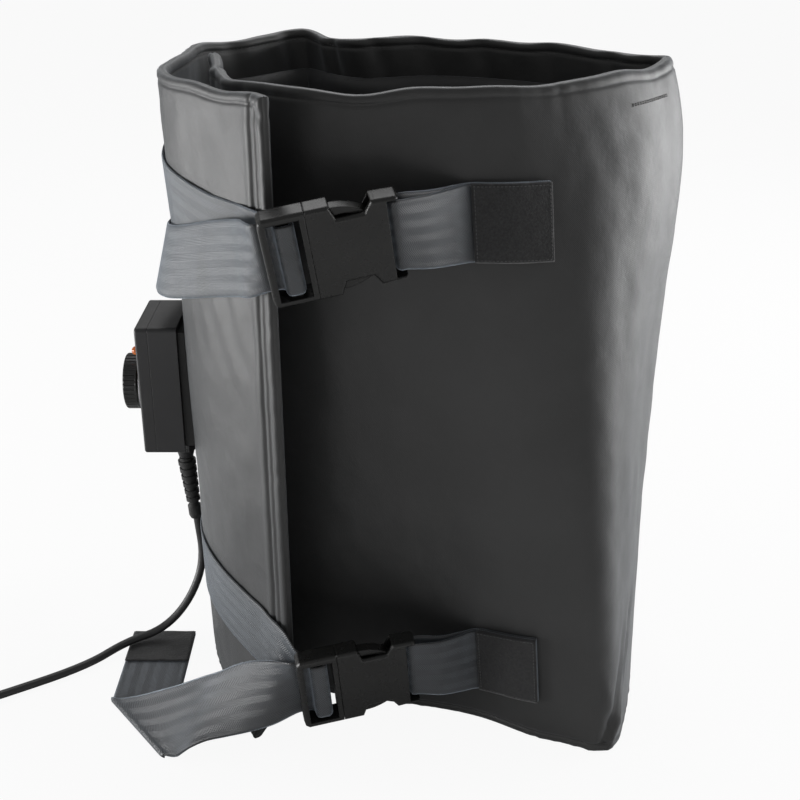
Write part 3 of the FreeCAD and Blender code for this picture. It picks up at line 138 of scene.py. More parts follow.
# %% Uneven lines and sheets
def waves(x, seed, count, shortest, longest):
    """An uneven line that repeats nowhere: many sines of seeded lengths."""
    pick = np.random.default_rng(seed)
    total = np.zeros_like(x)
    for _ in range(count):
        length = math.exp(pick.uniform(math.log(shortest), math.log(longest)))
        total += np.sin(2 * math.pi * x / length + pick.uniform(0, 2 * math.pi))
    return total / math.sqrt(count)


def ripples(x, y, seed, count, shortest, longest, upright=1.0):
    """Uneven cloth: many flat waves; upright above 1 makes tall folds."""
    pick = np.random.default_rng(seed)
    total = np.zeros(np.broadcast(x, y).shape)
    for _ in range(count):
        length = math.exp(pick.uniform(math.log(shortest), math.log(longest)))
        turn = pick.uniform(0, math.pi)
        along = x * math.cos(turn) + y * math.sin(turn) / upright
        total += np.sin(2 * math.pi * along / length + pick.uniform(0, 2 * math.pi))
    return total / math.sqrt(count)


print("wave helpers ready")

# %% [markdown]
# ## Finishes
# Small helpers add a node, join two sockets, and make the bumps that most of
# these finishes need. Numbers that hold all over a piece sit on the shader's
# own sockets, so that they survive an export.


# %% Shader helpers
def finish_named(name, color, roughness, **sockets):
    """A material whose shader has these constants; returns it and its shader."""
    material = bpy.data.materials.new(name)
    material.use_nodes = True
    shader = material.node_tree.nodes["Principled BSDF"]
    shader.inputs["Base Color"].default_value = (*color, 1)
    shader.inputs["Roughness"].default_value = roughness
    for socket, number in sockets.items():
        shader.inputs[socket.replace("_", " ")].default_value = number
    return material, shader


def node(material, kind, **inputs):
    made = material.node_tree.nodes.new(kind)
    for socket, number in inputs.items():
        made.inputs[socket.replace("_", " ")].default_value = number
    return made


def join(material, out, into):
    material.node_tree.links.new(out, into)


def maths(material, operation, first, second=None):
    made = node(material, "ShaderNodeMath")
    made.operation = operation
    for n, source in enumerate((first, second)):
        if source is None:
            continue
        if isinstance(source, (int, float)):
            made.inputs[n].default_value = source
        else:
            join(material, source, made.inputs[n])
    return made.outputs[0]


def place_of(material, kind="Object"):
    return node(material, "ShaderNodeTexCoord").outputs[kind]


def noise_of(material, place, scale, detail=3.0, roughness=0.5):
    made = node(material, "ShaderNodeTexNoise", Scale=scale, Detail=detail, Roughness=roughness)
    join(material, place, made.inputs["Vector"])
    return made.outputs["Fac"]


def bump_of(material, height, distance, strength=1.0, under=None):
    made = node(material, "ShaderNodeBump", Strength=strength, Distance=distance)
    join(material, height, made.inputs["Height"])
    if under is not None:
        join(material, under, made.inputs["Normal"])
    return made.outputs["Normal"]


def shade_between(material, shader, amount, dark, light, low=0.3, high=0.7):
    """Base colour that runs from dark to light with an amount."""
    ramp = node(material, "ShaderNodeValToRGB")
    ramp.color_ramp.elements[0].position = low
    ramp.color_ramp.elements[0].color = (*dark, 1)
    ramp.color_ramp.elements[1].position = high
    ramp.color_ramp.elements[1].color = (*light, 1)
    join(material, amount, ramp.inputs["Fac"])
    join(material, ramp.outputs["Color"], shader.inputs["Base Color"])


def rough_between(material, shader, amount, low, high):
    spread = node(material, "ShaderNodeMapRange")
    spread.inputs["To Min"].default_value = low
    spread.inputs["To Max"].default_value = high
    join(material, amount, spread.inputs["Value"])
    join(material, spread.outputs["Result"], shader.inputs["Roughness"])


print("shader helpers ready")

# %% [markdown]
# ## Cover cloth
# The cover is a tightly woven coated polyester over thin wadding. It is nearly
# black where light meets it squarely and grey where light grazes it. Sheen and
# a broad gloss give that. The weave is two sines across each other on the
# cloth's own map, about two threads to the millimetre. Two wider noises add the
# crumples of the coating and the soft dents of the wadding.


# %% Cover cloth
THREAD_PITCH = 1.1 * MM


def woven_height(material, chart, pitch):
    """Height of a plain weave: threads that go over and under in turn."""
    split = node(material, "ShaderNodeSeparateXYZ")
    join(material, chart, split.inputs["Vector"])
    turn = 2 * math.pi / pitch
    warp = maths(material, "SINE", maths(material, "MULTIPLY", split.outputs["X"], turn))
    weft = maths(material, "SINE", maths(material, "MULTIPLY", split.outputs["Y"], turn))
    return maths(material, "MULTIPLY", warp, weft)


def cloth_finish(name, dark, light, roughness, sheen):
    material, shader = finish_named(
        name, dark, roughness, Sheen_Weight=sheen, Sheen_Roughness=0.45, Specular_IOR_Level=0.55
    )
    shader.inputs["Sheen Tint"].default_value = (0.86, 0.9, 0.95, 1)
    place = place_of(material)
    patchy = noise_of(material, place, scale=14.0, detail=4.0)
    shade_between(material, shader, patchy, dark, light)
    weave = woven_height(material, place_of(material, "UV"), THREAD_PITCH)
    threads = bump_of(material, weave, distance=0.07 * MM, strength=0.5)
    coating = noise_of(material, place, scale=95.0, detail=5.0, roughness=0.55)
    crumples = bump_of(material, coating, distance=0.9 * MM, strength=0.32, under=threads)
    wadding = noise_of(material, place, scale=22.0, detail=2.0)
    dents = bump_of(material, wadding, distance=4 * MM, strength=0.3, under=crumples)
    join(material, dents, shader.inputs["Normal"])
    worn = noise_of(material, place, scale=60.0, detail=3.0)
    rough_between(material, shader, worn, roughness - 0.05, roughness + 0.06)
    return material


cover_cloth = cloth_finish(
    "cover_cloth", (0.019, 0.019, 0.0185), (0.028, 0.028, 0.0277), roughness=0.44, sheen=0.4
)
lining_cloth = cloth_finish(
    "lining_cloth", (0.018, 0.0182, 0.0185), (0.028, 0.0282, 0.029), roughness=0.55, sheen=0.3
)
print("cover cloth, one over and under in", round(THREAD_PITCH / MM, 2), "mm")

# %% [markdown]
# ## Webbing, thread and gripping patches
# The webbing is grey-black polyamide. Five raised bands run along it, in each
# of which the ribs slant, the other way from band to band. Its edges are dark,
# and thin lines of painted shade darken the grooves between the bands.
# It is much shinier than the cover. The gripping patches are rough and dull.

# %% Webbing and thread
WEBBING_WIDTH = 45 * MM
WEBBING_THICKNESS = 1.4 * MM
BANDS = 5
RIB_PITCH = 1.3 * MM
DARK_EDGE = 1.1 * MM
# Width of the painted shade line in each groove between the bands
GROOVE_SHADE_WIDTH = 0.28 * MM


def webbing_finish():
    material, shader = finish_named(
        "webbing", (0.03, 0.032, 0.035), 0.46, Sheen_Weight=1.0, Sheen_Roughness=0.4,
        Specular_IOR_Level=0.9,
    )
    shader.inputs["Sheen Tint"].default_value = (0.75, 0.84, 0.95, 1)
    split = node(material, "ShaderNodeSeparateXYZ")
    join(material, place_of(material, "UV"), split.inputs["Vector"])
    across, along = split.outputs["X"], split.outputs["Y"]
    band = maths(material, "PINGPONG", across, WEBBING_WIDTH / BANDS / 2)
    slant = maths(material, "ADD", along, maths(material, "MULTIPLY", band, 0.7))
    rib = maths(material, "SINE", maths(material, "MULTIPLY", slant, 2 * math.pi / RIB_PITCH))
    finer = 2 * math.pi / (RIB_PITCH * 0.7)
    cord_line = maths(material, "SINE", maths(material, "MULTIPLY", across, finer))
    weave = maths(material, "ADD", rib, maths(material, "MULTIPLY", cord_line, 0.5))
    place = place_of(material)
    ribs = bump_of(material, weave, distance=0.12 * MM, strength=0.6)
    fluff = noise_of(material, place, scale=900.0, detail=2.0)
    fluffy = bump_of(material, fluff, distance=0.2 * MM, strength=0.22, under=ribs)
    join(material, fluffy, shader.inputs["Normal"])
    middle = maths(material, "ABSOLUTE", maths(material, "SUBTRACT", across, WEBBING_WIDTH / 2))
    edge = maths(material, "GREATER_THAN", middle, WEBBING_WIDTH / 2 - DARK_EDGE)
    # Painted shade: a thin dark line in the base colour along each groove between the bands. The
    # dark edges are the webbing's own colour.
    groove = maths(material, "LESS_THAN", band, GROOVE_SHADE_WIDTH)
    dark_edges_and_groove_shade = maths(material, "ADD", edge, maths(material, "MULTIPLY", groove, 0.22))
    worn = noise_of(material, place, scale=55.0, detail=4.0)
    amount = maths(material, "SUBTRACT", worn, dark_edges_and_groove_shade)
    dark, light = (0.006, 0.0063, 0.007), (0.036, 0.04, 0.045)
    shade_between(material, shader, amount, dark, light, low=0.0, high=0.7)
    return material


def patch_finish():
    material, shader = finish_named(
        "gripping_patch", (0.02, 0.02, 0.021), 0.72, Sheen_Weight=0.25, Sheen_Roughness=0.5
    )
    place = place_of(material)
    hooks = noise_of(material, place, scale=700.0, detail=4.0, roughness=0.7)
    shade_between(material, shader, hooks, (0.007, 0.007, 0.0075), (0.03, 0.03, 0.031))
    rough = bump_of(material, hooks, distance=0.6 * MM, strength=0.9)
    join(material, rough, shader.inputs["Normal"])
    return material


def thread_finish(name, color):
    material, shader = finish_named(name, color, 0.5, Sheen_Weight=0.3)
    twist = noise_of(material, place_of(material), scale=2400.0, detail=1.0)
    shade_between(material, shader, twist, tuple(0.6 * c for c in color), color)
    twisted = bump_of(material, twist, distance=0.1 * MM, strength=0.5)
    join(material, twisted, shader.inputs["Normal"])
    return material


webbing_cloth = webbing_finish()
patch_cloth = patch_finish()
dark_thread = thread_finish("dark_thread", (0.012, 0.012, 0.013))
grey_thread = thread_finish("grey_thread", (0.11, 0.11, 0.11))
print("webbing with", BANDS, "bands")

# %% [markdown]
# ## Plastics, rubber and metal
# The buckles and the box are moulded in black plastic: buckles smooth with
# bright edges, the box finely grained. A Bevel node rounds their edges in the
# light, which is what makes a moulded edge catch a thin highlight.


# %% Moulded and metal finishes
def moulded(name, color, roughness, grain, depth, edge, **sockets):
    """Plastic or rubber: grain in bumps per metre, its depth and the edge in mm."""
    material, shader = finish_named(name, color, roughness, **sockets)
    place = place_of(material)
    bevel = node(material, "ShaderNodeBevel", Radius=edge * MM)
    bevel.samples = 4
    bumps = noise_of(material, place, grain, detail=3.0)
    grained = bump_of(material, bumps, depth * MM, 0.5, under=bevel.outputs["Normal"])
    join(material, grained, shader.inputs["Normal"])
    light = tuple(min(1, 1.35 * c + 0.002) for c in color)
    patchy = noise_of(material, place, scale=30.0, detail=4.0)
    shade_between(material, shader, patchy, color, light)
    worn = noise_of(material, place, scale=120.0, detail=4.0)
    rough_between(material, shader, worn, roughness - 0.06, roughness + 0.08)
    return material


def metal(name, color, roughness):
    return moulded(name, color, roughness, 2600.0, 0.03, 0.2, Metallic=1.0)


buckle_plastic = moulded("buckle_plastic", (0.009, 0.009, 0.0085), 0.26, 900.0, 0.02, 1.1)
box_plastic = moulded("box_plastic", (0.017, 0.017, 0.018), 0.44, 2200.0, 0.1, 0.6)
knob_plastic = moulded("knob_plastic", (0.01, 0.01, 0.01), 0.35, 1500.0, 0.05, 0.4)
soft_rubber = moulded("soft_rubber", (0.014, 0.014, 0.014), 0.55, 1200.0, 0.08, 0.4)
cord_rubber = moulded("cord_rubber", (0.022, 0.022, 0.0225), 0.42, 1500.0, 0.06, 0.3)
pale_plastic = moulded("pale_plastic", (0.55, 0.52, 0.44), 0.45, 1500.0, 0.05, 0.4)
white_plastic = moulded("white_plastic", (0.7, 0.7, 0.68), 0.4, 1500.0, 0.05, 0.4)
mat_silicone = moulded("mat_silicone", (0.3, 0.09, 0.06), 0.5, 700.0, 0.1, 0.4)
steel = metal("steel", (0.55, 0.55, 0.55), 0.32)
dial_metal = metal("dial_metal", (0.42, 0.42, 0.43), 0.42)
brass = metal("brass", (0.68, 0.5, 0.22), 0.3)
print("moulded and metal finishes ready")

# %% [markdown]
# ## Amber lens
# The pilot lamp's lens is clear amber plastic. It lets about half the light
# through and has a thin gloss on top. Faint ripples keep it from looking like
# a flat sticker.


# %% Amber lens
def amber_finish():
    material, shader = finish_named(
        "amber_lens", (0.9, 0.2, 0.03), 0.12, Transmission_Weight=0.45, IOR=1.49, Coat_Weight=0.5
    )
    place = place_of(material)
    cloudy = noise_of(material, place, scale=300.0, detail=2.0)
    shade_between(material, shader, cloudy, (0.8, 0.14, 0.02), (0.95, 0.28, 0.05))
    ripple = noise_of(material, place, scale=900.0, detail=1.0)
    rippled = bump_of(material, ripple, distance=0.1 * MM, strength=0.3)
    join(material, rippled, shader.inputs["Normal"])
    return material


amber_lens = amber_finish()
print("amber lens ready")

# %% [markdown]
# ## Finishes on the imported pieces
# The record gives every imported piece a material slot. One table turns the slot
# into a finish, so a piece of the same stuff always looks the same.

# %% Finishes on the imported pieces
FINISH_OF_SLOT = {
    "cover_fabric": cover_cloth, "mat_silicone": mat_silicone, "liner_fabric": lining_cloth,
    "webbing": webbing_cloth, "hook_patch": patch_cloth, "buckle_plastic": buckle_plastic,
    "black_rubber": soft_rubber, "box_plastic": box_plastic, "steel": steel,
    "dial_metal": dial_metal, "knob_plastic": knob_plastic, "control_plastic": pale_plastic,
    "brass": brass, "lamp_amber": amber_lens, "terminal_white": white_plastic,
    "cord_rubber": cord_rubber, "plug_rubber": soft_rubber,
}
for row in frame["record"]["subparts"]:
    data = frame["nodes"][row["node"]].data
    data.materials.clear()
    data.materials.append(FINISH_OF_SLOT[row["material_slot"]])
print("finishes on", len(frame["nodes"]), "packed pieces")

# %% [markdown]
# ## The spiral wall
# Two lines drawn from above give the wall: one at the rim, one at the floor,
# each from the inner end round the drum to the free edge of the flap. Every
# point of the wall lies on a straight mix of the two. Three soft changes come
# on top: the right side bellies out, the upper strap nips the flap in, and the
# foot of the flap curls away. All cloth and webbing is placed by a share of the
# wall's length, a height and an offset outwards, in millimetres.

# %% Wall lines
TOP_LINE = [
    (-133, 52), (-124, 8), (-110, -38), (-88, -60), (-62, -76), (-29, -80),
    (8, -72), (41, -66), (75, -51), (99, -36), (120, -17), (139, 6),
    (150, 22), (151, 33), (141, 43), (119, 62), (90, 82), (53, 103),
    (20, 114), (-13, 113), (-39, 106), (-60, 126), (-79, 146), (-98, 134),
    (-119, 109), (-142, 86), (-151, 44), (-154, 11), (-151, -20),
    (-141, -36), (-118, -63), (-97, -86), (-84.5, -102),
]
BOTTOM_LINE = [
    (-124, 46), (-117, 8), (-103, -30), (-78, -50), (-45, -60), (-13, -67),
    (14, -73), (46, -85), (77, -103), (99, -111), (112, -116), (122, -113),
    (131, -97), (141, -62), (150, -15), (151, 35), (126, 82), (75, 112),
    (10, 123), (-58, 118), (-113, 93), (-143, 50), (-147, 10),
    (-140, -22), (-125, -56), (-103, -86), (-82, -109),
]
HEIGHT = 410
LENGTH = 1010
UPPER_STRAP_HEIGHT = 333


def smooth_line(points, fineness=40):
    """Even samples of the cubic line through points, as a share table."""
    spots = np.array(points, float)
    gaps = np.linalg.norm(np.diff(spots, axis=0), axis=1)
    place = np.concatenate([[0], np.cumsum(gaps)])
    count = len(spots)
    left = np.zeros((count, count))
    right = np.zeros((count, 2))
    for n in range(1, count - 1):
        before, after = gaps[n - 1], gaps[n]
        left[n, n - 1 : n + 2] = after, 2 * (before + after), before
        rise_before = (spots[n] - spots[n - 1]) / before
        rise_after = (spots[n + 1] - spots[n]) / after
        right[n] = 3 * (after * rise_before + before * rise_after)
    for row, near in ((0, slice(0, 4)), (count - 1, slice(count - 4, count))):
        left[row, row] = 1
        for axis in range(2):
            cubic = np.polyfit(place[near] - place[row], spots[near, axis], 3)
            right[row, axis] = cubic[2]
    slopes = np.linalg.solve(left, right)
    samples = []
    for n, gap in enumerate(gaps):
        part = np.linspace(0, 1, fineness, endpoint=False)[:, None]
        samples.append(
            spots[n] * (1 - part) ** 2 * (1 + 2 * part)
            + spots[n + 1] * part**2 * (3 - 2 * part)
            + slopes[n] * gap * part * (1 - part) ** 2
            - slopes[n + 1] * gap * part**2 * (1 - part)
        )
    samples.append(spots[-1:])
    line = np.concatenate(samples)
    run = np.concatenate([[0], np.cumsum(np.linalg.norm(np.diff(line, axis=0), axis=1))])
    return run / run[-1], line


top_table = smooth_line(TOP_LINE)
bottom_table = smooth_line(BOTTOM_LINE)
BELLY_SHARE, BELLY_SPREAD, BELLY = 0.38, 0.07, 12
NIP_SHARE, NIP_SPREAD, NIP = 0.875, 0.05, 2.5
NIP_BELOW_STRAP, NIP_REACH = 33, 35
CURL_START, CURL_LENGTH = 0.93, 0.07
CURL_HEIGHT, CURL, CURL_BACK = 60, 26, 0.23
print("rim and floor lines of", len(TOP_LINE), "and", len(BOTTOM_LINE), "points")

# %% [markdown]
# The mix of the two lines is a function of share and height. Its slope along
# the wall gives the direction outwards, and both together place anything that
# lies on the wall, inside or outside.


# %% Points on the wall
def plan_point(share, height):
    """Outer face of the wall, in millimetres."""
    share, height = np.broadcast_arrays(np.asarray(share, float), np.asarray(height, float))
    rise = height / HEIGHT
    spot = []
    for axis in range(2):
        top = np.interp(share, top_table[0], top_table[1][:, axis])
        bottom = np.interp(share, bottom_table[0], bottom_table[1][:, axis])
        spot.append(top * rise + bottom * (1 - rise))
    belly_near = np.exp(-(((share - BELLY_SHARE) / BELLY_SPREAD) ** 2))
    belly = np.sin(math.pi * np.clip(rise, 0, 1) ** 4) * belly_near
    below_strap = height - UPPER_STRAP_HEIGHT + NIP_BELOW_STRAP
    nip = np.exp(-(((share - NIP_SHARE) / NIP_SPREAD) ** 2) - (below_strap / NIP_REACH) ** 2)
    end = np.clip((share - CURL_START) / CURL_LENGTH, 0, None)
    curl = CURL * end * np.clip(1 - height / CURL_HEIGHT, 0, None) ** 1.5
    right = BELLY * belly + NIP * nip - curl
    return np.stack([spot[0] + right, spot[1] + CURL_BACK * curl, height], axis=-1)


def wall_normal(share, height, step=0.006):
    """The level direction off the wall, of length 1."""
    share = np.asarray(share, float)
    before = plan_point(np.clip(share - step, 0, 1), height)
    after = plan_point(np.clip(share + step, 0, 1), height)
    along = after - before
    normal = np.stack([along[..., 1], -along[..., 0], np.zeros_like(along[..., 0])], axis=-1)
    return normal / np.linalg.norm(normal, axis=-1, keepdims=True)


def wall_point(share, height, offset=0.0):
    """A point of the wall's outer face, moved outwards by an offset."""
    offset = np.asarray(offset, float)[..., None]
    return plan_point(share, height) + wall_normal(share, height) * offset


print("wall", LENGTH, "x", HEIGHT, "mm, free edge at", plan_point(1.0, HEIGHT).round(1))

# %% [markdown]
# ## Padded cover
# On the real jacket two sheets of cloth are sewn round their edges, turned and
# filled with wadding. So the edge is a roll with a seam sunk along its top, a
# line of stitches sits a little inside it, and the cloth puckers across that
# line. Every one of these is a height that depends on the distance from the
# edge, so the first step is a grid with many points beside the edges and few
# between them.

# %% Distances from the cover's edges
COVER_THICKNESS = 7.0
COVER_EDGE = 5.6
ROLL = 3.0
SWELL_REACH = 22
EDGE_STEPS = [
    0, 0.2, 0.6, 1.2, 2.0, 3.0, 4.2, 5.2, 6.0, 6.8, 7.8, 9.0, 10.2, 11.0, 11.7, 12.4, 13.4,
    15, 17, 20, 24, 30,
]
SEAM_LINE = 6.0
FLAP_SEAM = 11.5


def from_both_ends(extent, count):
    """Distances that are fine near both ends and even between."""
    inner = np.linspace(EDGE_STEPS[-1], extent - EDGE_STEPS[-1], count)[1:-1]
    near = np.array(EDGE_STEPS, float)
    return np.concatenate([near, inner, extent - near[::-1]])


def near_line(distance, line, spread):
    """1 on the line, fading to nothing a few spreads away from it."""
    return np.exp(-(((distance - line) / spread) ** 2))


def rounded(distance, reach):
    """0 on the very edge, rising as a quarter circle to 1 at the reach."""
    return np.sqrt(1 - (1 - np.clip(distance / reach, 0, 1)) ** 2)


run = from_both_ends(LENGTH, 300)
levels = from_both_ends(HEIGHT, 62)
along, up = np.meshgrid(run, levels, indexing="ij")
share = along / LENGTH
below_rim = HEIGHT - up
from_rim = np.minimum(up, below_rim)
from_end = np.minimum(along, LENGTH - along)
from_edge = np.minimum(from_rim, from_end)
fullness = rounded(from_edge, ROLL)
swell = rounded(from_edge, SWELL_REACH)
thickness = COVER_EDGE + (COVER_THICKNESS - COVER_EDGE) * swell
print("cover grid of", len(run), "x", len(levels), "points")

# %% [markdown]
# The cloth's unevenness comes in layers, each with its own size: puckers that
# run across each seam and fade away from it, wide swellings of the wadding,
# small crumples, and slanting folds that the upper strap pulls out of the flap.

# %% Puckers, swellings and folds
RIM_PUCKER, RIM_FADE = 0.42, 9
END_PUCKER, END_FADE = 0.3, 8
SWELLING, SWELLING_FADE = 0.55, 40
CRUMPLING, CRUMPLING_FADE = 0.16, 20
FOLD_DEPTH = 0.5
FOLD_SHARE, FOLD_SHARE_SPREAD = 0.955, 0.035
FOLD_HEIGHT, FOLD_HEIGHT_SPREAD = UPPER_STRAP_HEIGHT - 55, 36

pucker_rim = waves(along, seed=3, count=9, shortest=7, longest=19) * np.exp(-from_rim / RIM_FADE)
pucker_end = waves(up, seed=5, count=9, shortest=8, longest=21) * np.exp(-from_end / END_FADE)
drawn_in = 0.6 + 0.4 * waves(along, seed=8, count=4, shortest=60, longest=190)
pucker = RIM_PUCKER * pucker_rim * drawn_in + END_PUCKER * pucker_end
swellings = ripples(along, up, seed=11, count=26, shortest=55, longest=210, upright=1.7)
quilt = SWELLING * swellings * np.clip(from_edge / SWELLING_FADE, 0, 1)
crumples = ripples(along, up, seed=17, count=30, shortest=14, longest=40, upright=1.4)
crease = CRUMPLING * crumples * np.clip(from_edge / CRUMPLING_FADE, 0, 1)

strap_pull = near_line(share, FOLD_SHARE, FOLD_SHARE_SPREAD)
strap_pull *= near_line(up, FOLD_HEIGHT, FOLD_HEIGHT_SPREAD)
fold_line = np.sin((along * 0.9 + up * 0.42) / 3.1) + 0.6 * np.sin((along - up * 0.3) / 4.7)
folds = FOLD_DEPTH * strap_pull * fold_line
print("deepest pucker", round(float(np.abs(pucker).max()), 2), "mm")

# %% [markdown]
# Sharp creases are placed one by one, where the cloth has them: upright ones
# inside, behind the rim, and slanting ones where the foot of the right corner
# is squashed. Each is a groove with a softer ridge beside it.

# %% Sharp creases
# Share, depth, half-width, reach down
CREASES = [
    (0.655, 3.0, 0.005, 80), (0.625, 2.8, 0.005, 130), (0.59, 1.8, 0.008, 80),
    (0.55, 2.4, 0.007, 75), (0.50, 2.0, 0.008, 90), (0.455, 2.2, 0.006, 80),
    (0.43, 1.8, 0.005, 60), (0.05, 2.2, 0.006, 60), (0.09, 1.6, 0.007, 45),
    (0.71, 2.0, 0.007, 70), (0.76, 1.5, 0.007, 50),
]
CREASE_SWAY = 0.006
# Share, height, slant, depth
CORNER_CREASES = [(0.323, 26, -0.5, 2.2), (0.342, 45, -0.8, 1.5), (0.31, 44, 0.35, 1.1)]
CORNER_GROOVE = 2.6
CORNER_RIDGE = 3.5
RIDGE_BESIDE = 6
CORNER_REACH = 34

creases = np.zeros_like(share)
for place, depth, width, reach in CREASES:
    groove = place + CREASE_SWAY * np.sin(up / 31)
    fading = np.exp(-below_rim / reach)
    creases -= depth * near_line(share, groove, width) * fading
    creases += 0.4 * depth * near_line(share, groove + 2 * width, width) * fading
corner_crease = np.zeros_like(share)
for place, height, slope, depth in CORNER_CREASES:
    line = (share - place) * LENGTH + slope * (up - height)
    fading = near_line(up, height, CORNER_REACH)
    corner_crease -= depth * near_line(line, 0, CORNER_GROOVE) * fading
    corner_crease += 0.8 * depth * near_line(line, RIDGE_BESIDE, CORNER_RIDGE) * fading
print(len(CREASES), "creases behind the rim,", len(CORNER_CREASES), "at the foot")

# %% [markdown]
# The layers add up to a height of the outer face and one of the inner face,
# with the seams sunk in. Both sheets have the same grid and share their border
# points, so they are joined and welded into one closed shell.

# %% The two sheets of the cover
CROWN = 0.5
SEAM_WIDTH, OUTER_SEAM_SUNK, INNER_SEAM_SUNK = 0.9, 0.75, 0.8
FLAP_SEAM_WIDTH, FLAP_SEAM_SUNK, FLAP_RIDGE = 1.1, 1.15, 0.75
WALL_RIDGE, EDGE_RIDGE = FLAP_SEAM + 3.4, 7.6
BORDER_SUNK = 1.1
RIM_WAVE, RIM_WAVE_REACH = 1.1, 26

seam = near_line(from_edge, SEAM_LINE, SEAM_WIDTH)
outer_face = CROWN * swell + quilt + crease + pucker + folds - OUTER_SEAM_SUNK * seam * fullness
outer_face += (corner_crease - creases) * fullness
from_flap = LENGTH - along
flap_seam = near_line(from_flap, FLAP_SEAM, FLAP_SEAM_WIDTH)
flap_ridge = near_line(from_flap, WALL_RIDGE, 1.9) + 0.8 * near_line(from_flap, EDGE_RIDGE, 1.6)
outer_face += (FLAP_RIDGE * flap_ridge - FLAP_SEAM_SUNK * flap_seam) * fullness
inner_face = 0.35 * pucker + 0.5 * crease + creases - INNER_SEAM_SUNK * seam * fullness

middle = thickness / 2
half = middle * fullness
outer_offset = -middle + half + outer_face * fullness
inner_offset = -middle - half - inner_face * fullness
sink = BORDER_SUNK * (1 - fullness) ** 2
run_in = along + sink * np.where(from_end < from_rim, np.sign(LENGTH / 2 - along), 0)
rim_wave = RIM_WAVE * waves(along, seed=47, count=7, shortest=38, longest=130)
rim_wave *= np.exp(-below_rim / RIM_WAVE_REACH)
up_in = up + rim_wave + sink * np.where(from_rim <= from_end, np.sign(HEIGHT / 2 - up), 0)
outer_sheet = wall_point(run_in / LENGTH, up_in, outer_offset) * MM
inner_sheet = wall_point(run_in / LENGTH, up_in, inner_offset) * MM
cloth_chart = np.stack([along, up], axis=-1) * MM


def sewn_together(front, back):
    """Join two sheets and weld the border that they share."""
    with bpy.context.temp_override(active_object=front, selected_editable_objects=[front, back]):
        bpy.ops.object.join()
    return weld(front)


cover = grid_object("padded_cover", outer_sheet, cloth_chart, False, cover_cloth)
inside = grid_object("cover_inside", inner_sheet, cloth_chart, False, cover_cloth)
sewn_together(cover, inside)
print("cover", len(cover.data.polygons), "faces")

# %% [markdown]
# ## Lining
# Inside, a second sheet covers the heating mat. It is sewn down round its edge
# 25 mm from the rim, so it rises from the seam like a flat pillow. Its back
# stays hidden, close behind its face.

# %% Lining
LINING_MARGIN = 25
MAT_DEPTH = 13.0
SEWN_DEPTH = 7.5
LINING_THICKNESS = 0.9
RISE_REACH = 3.2

lining_run = LINING_MARGIN + from_both_ends(LENGTH - 2 * LINING_MARGIN, 230)
lining_up = LINING_MARGIN + from_both_ends(HEIGHT - 2 * LINING_MARGIN, 44)
along, up = np.meshgrid(lining_run, lining_up, indexing="ij")
edge_up = np.minimum(up, HEIGHT - up) - LINING_MARGIN
edge_run = np.minimum(along, LENGTH - along) - LINING_MARGIN
edge = np.minimum(edge_up, edge_run)
rise = 1 - np.exp(-edge / RISE_REACH)
pucker = 0.4 * waves(along, seed=23, count=10, shortest=6, longest=15) * np.exp(-edge_up / 8)
pucker += 0.3 * waves(up, seed=29, count=9, shortest=6, longest=15) * np.exp(-edge_run / 8)
swellings = ripples(along, up, seed=31, count=24, shortest=50, longest=180, upright=1.6)
soft = 0.45 * swellings * np.clip(edge / 30, 0, 1)
uneven = (pucker + soft) * np.clip(edge / 2, 0, 1)
face_depth = SEWN_DEPTH + (MAT_DEPTH - SEWN_DEPTH) * rise + uneven
back_depth = face_depth - LINING_THICKNESS * np.clip(edge / 1.2, 0, 1)
chart = np.stack([along, up], axis=-1) * MM
face_sheet = wall_point(along / LENGTH, up, -face_depth) * MM
back_sheet = wall_point(along / LENGTH, up, -back_depth) * MM
lining = grid_object("lining", face_sheet, chart, False, lining_cloth)
lining_back = grid_object("lining_back", back_sheet, chart, False, lining_cloth)
sewn_together(lining, lining_back)
print("lining", len(lining.data.polygons), "faces")

# %% [markdown]
# ## Where the buckles sit
# Each buckle has directions of its own: along the strap, across it and off the
# wall. Three angles and the seam between its halves give them. They repeat the
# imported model, because the webbing threads through its slots.


# %% Buckle places
def turned(angle_yaw, angle_rise, angle_lean):
    """Directions along the strap, across it and off the wall, from degrees."""
    yaw, tip, lean = (math.radians(a) for a in (angle_yaw, angle_rise, angle_lean))
    forward = np.array([math.cos(yaw) * math.cos(tip), math.sin(yaw) * math.cos(tip), math.sin(tip)])
    upright = np.array([0, 0, 1.0]) - forward * forward[2]
    upright /= np.linalg.norm(upright)
    leaned = upright * math.cos(lean) + np.cross(forward, upright) * math.sin(lean)
    return forward, leaned, np.cross(forward, leaned)


BUCKLES = {
    "upper": (np.array([-60, -115.6, UPPER_STRAP_HEIGHT]), turned(9, 9.8, 17)),
    "lower": (np.array([-50.8, -116, 55.4]), turned(12, 6, 9.5)),
}
FRAME_LENGTH = 25
BUCKLE_HALF = 6.25
RAIL = 4
RAIL_DEPTH = 7.4
OUTER_SLOT = 6.5
BAR = 6
BAR_SUNK = 3.4
BAR_TOP = BUCKLE_HALF - BAR_SUNK
SOCKET_LENGTH = 49.5
SOCKET_BAR_RADIUS = 1.9
SOCKET_BAR_MIDDLE = SOCKET_LENGTH - SOCKET_BAR_RADIUS - 0.4
for level, (seam_spot, directions) in BUCKLES.items():
    print(level, "buckle at", seam_spot, "looks to", directions[0].round(3))

# %% [markdown]
# ## Webbing
# A strap is a list of stations: the middle of the webbing and half its width,
# as a direction across it. Stations lie on the wall, on a buckle or free.


# %% Stations
WEB = WEBBING_THICKNESS / MM
GAP = 0.3
ON_FACE = WEB / 2 + 0.9


def station(spot, across):
    across = np.asarray(across, float)
    return np.concatenate([spot, across / np.linalg.norm(across) * WEBBING_WIDTH / MM / 2])


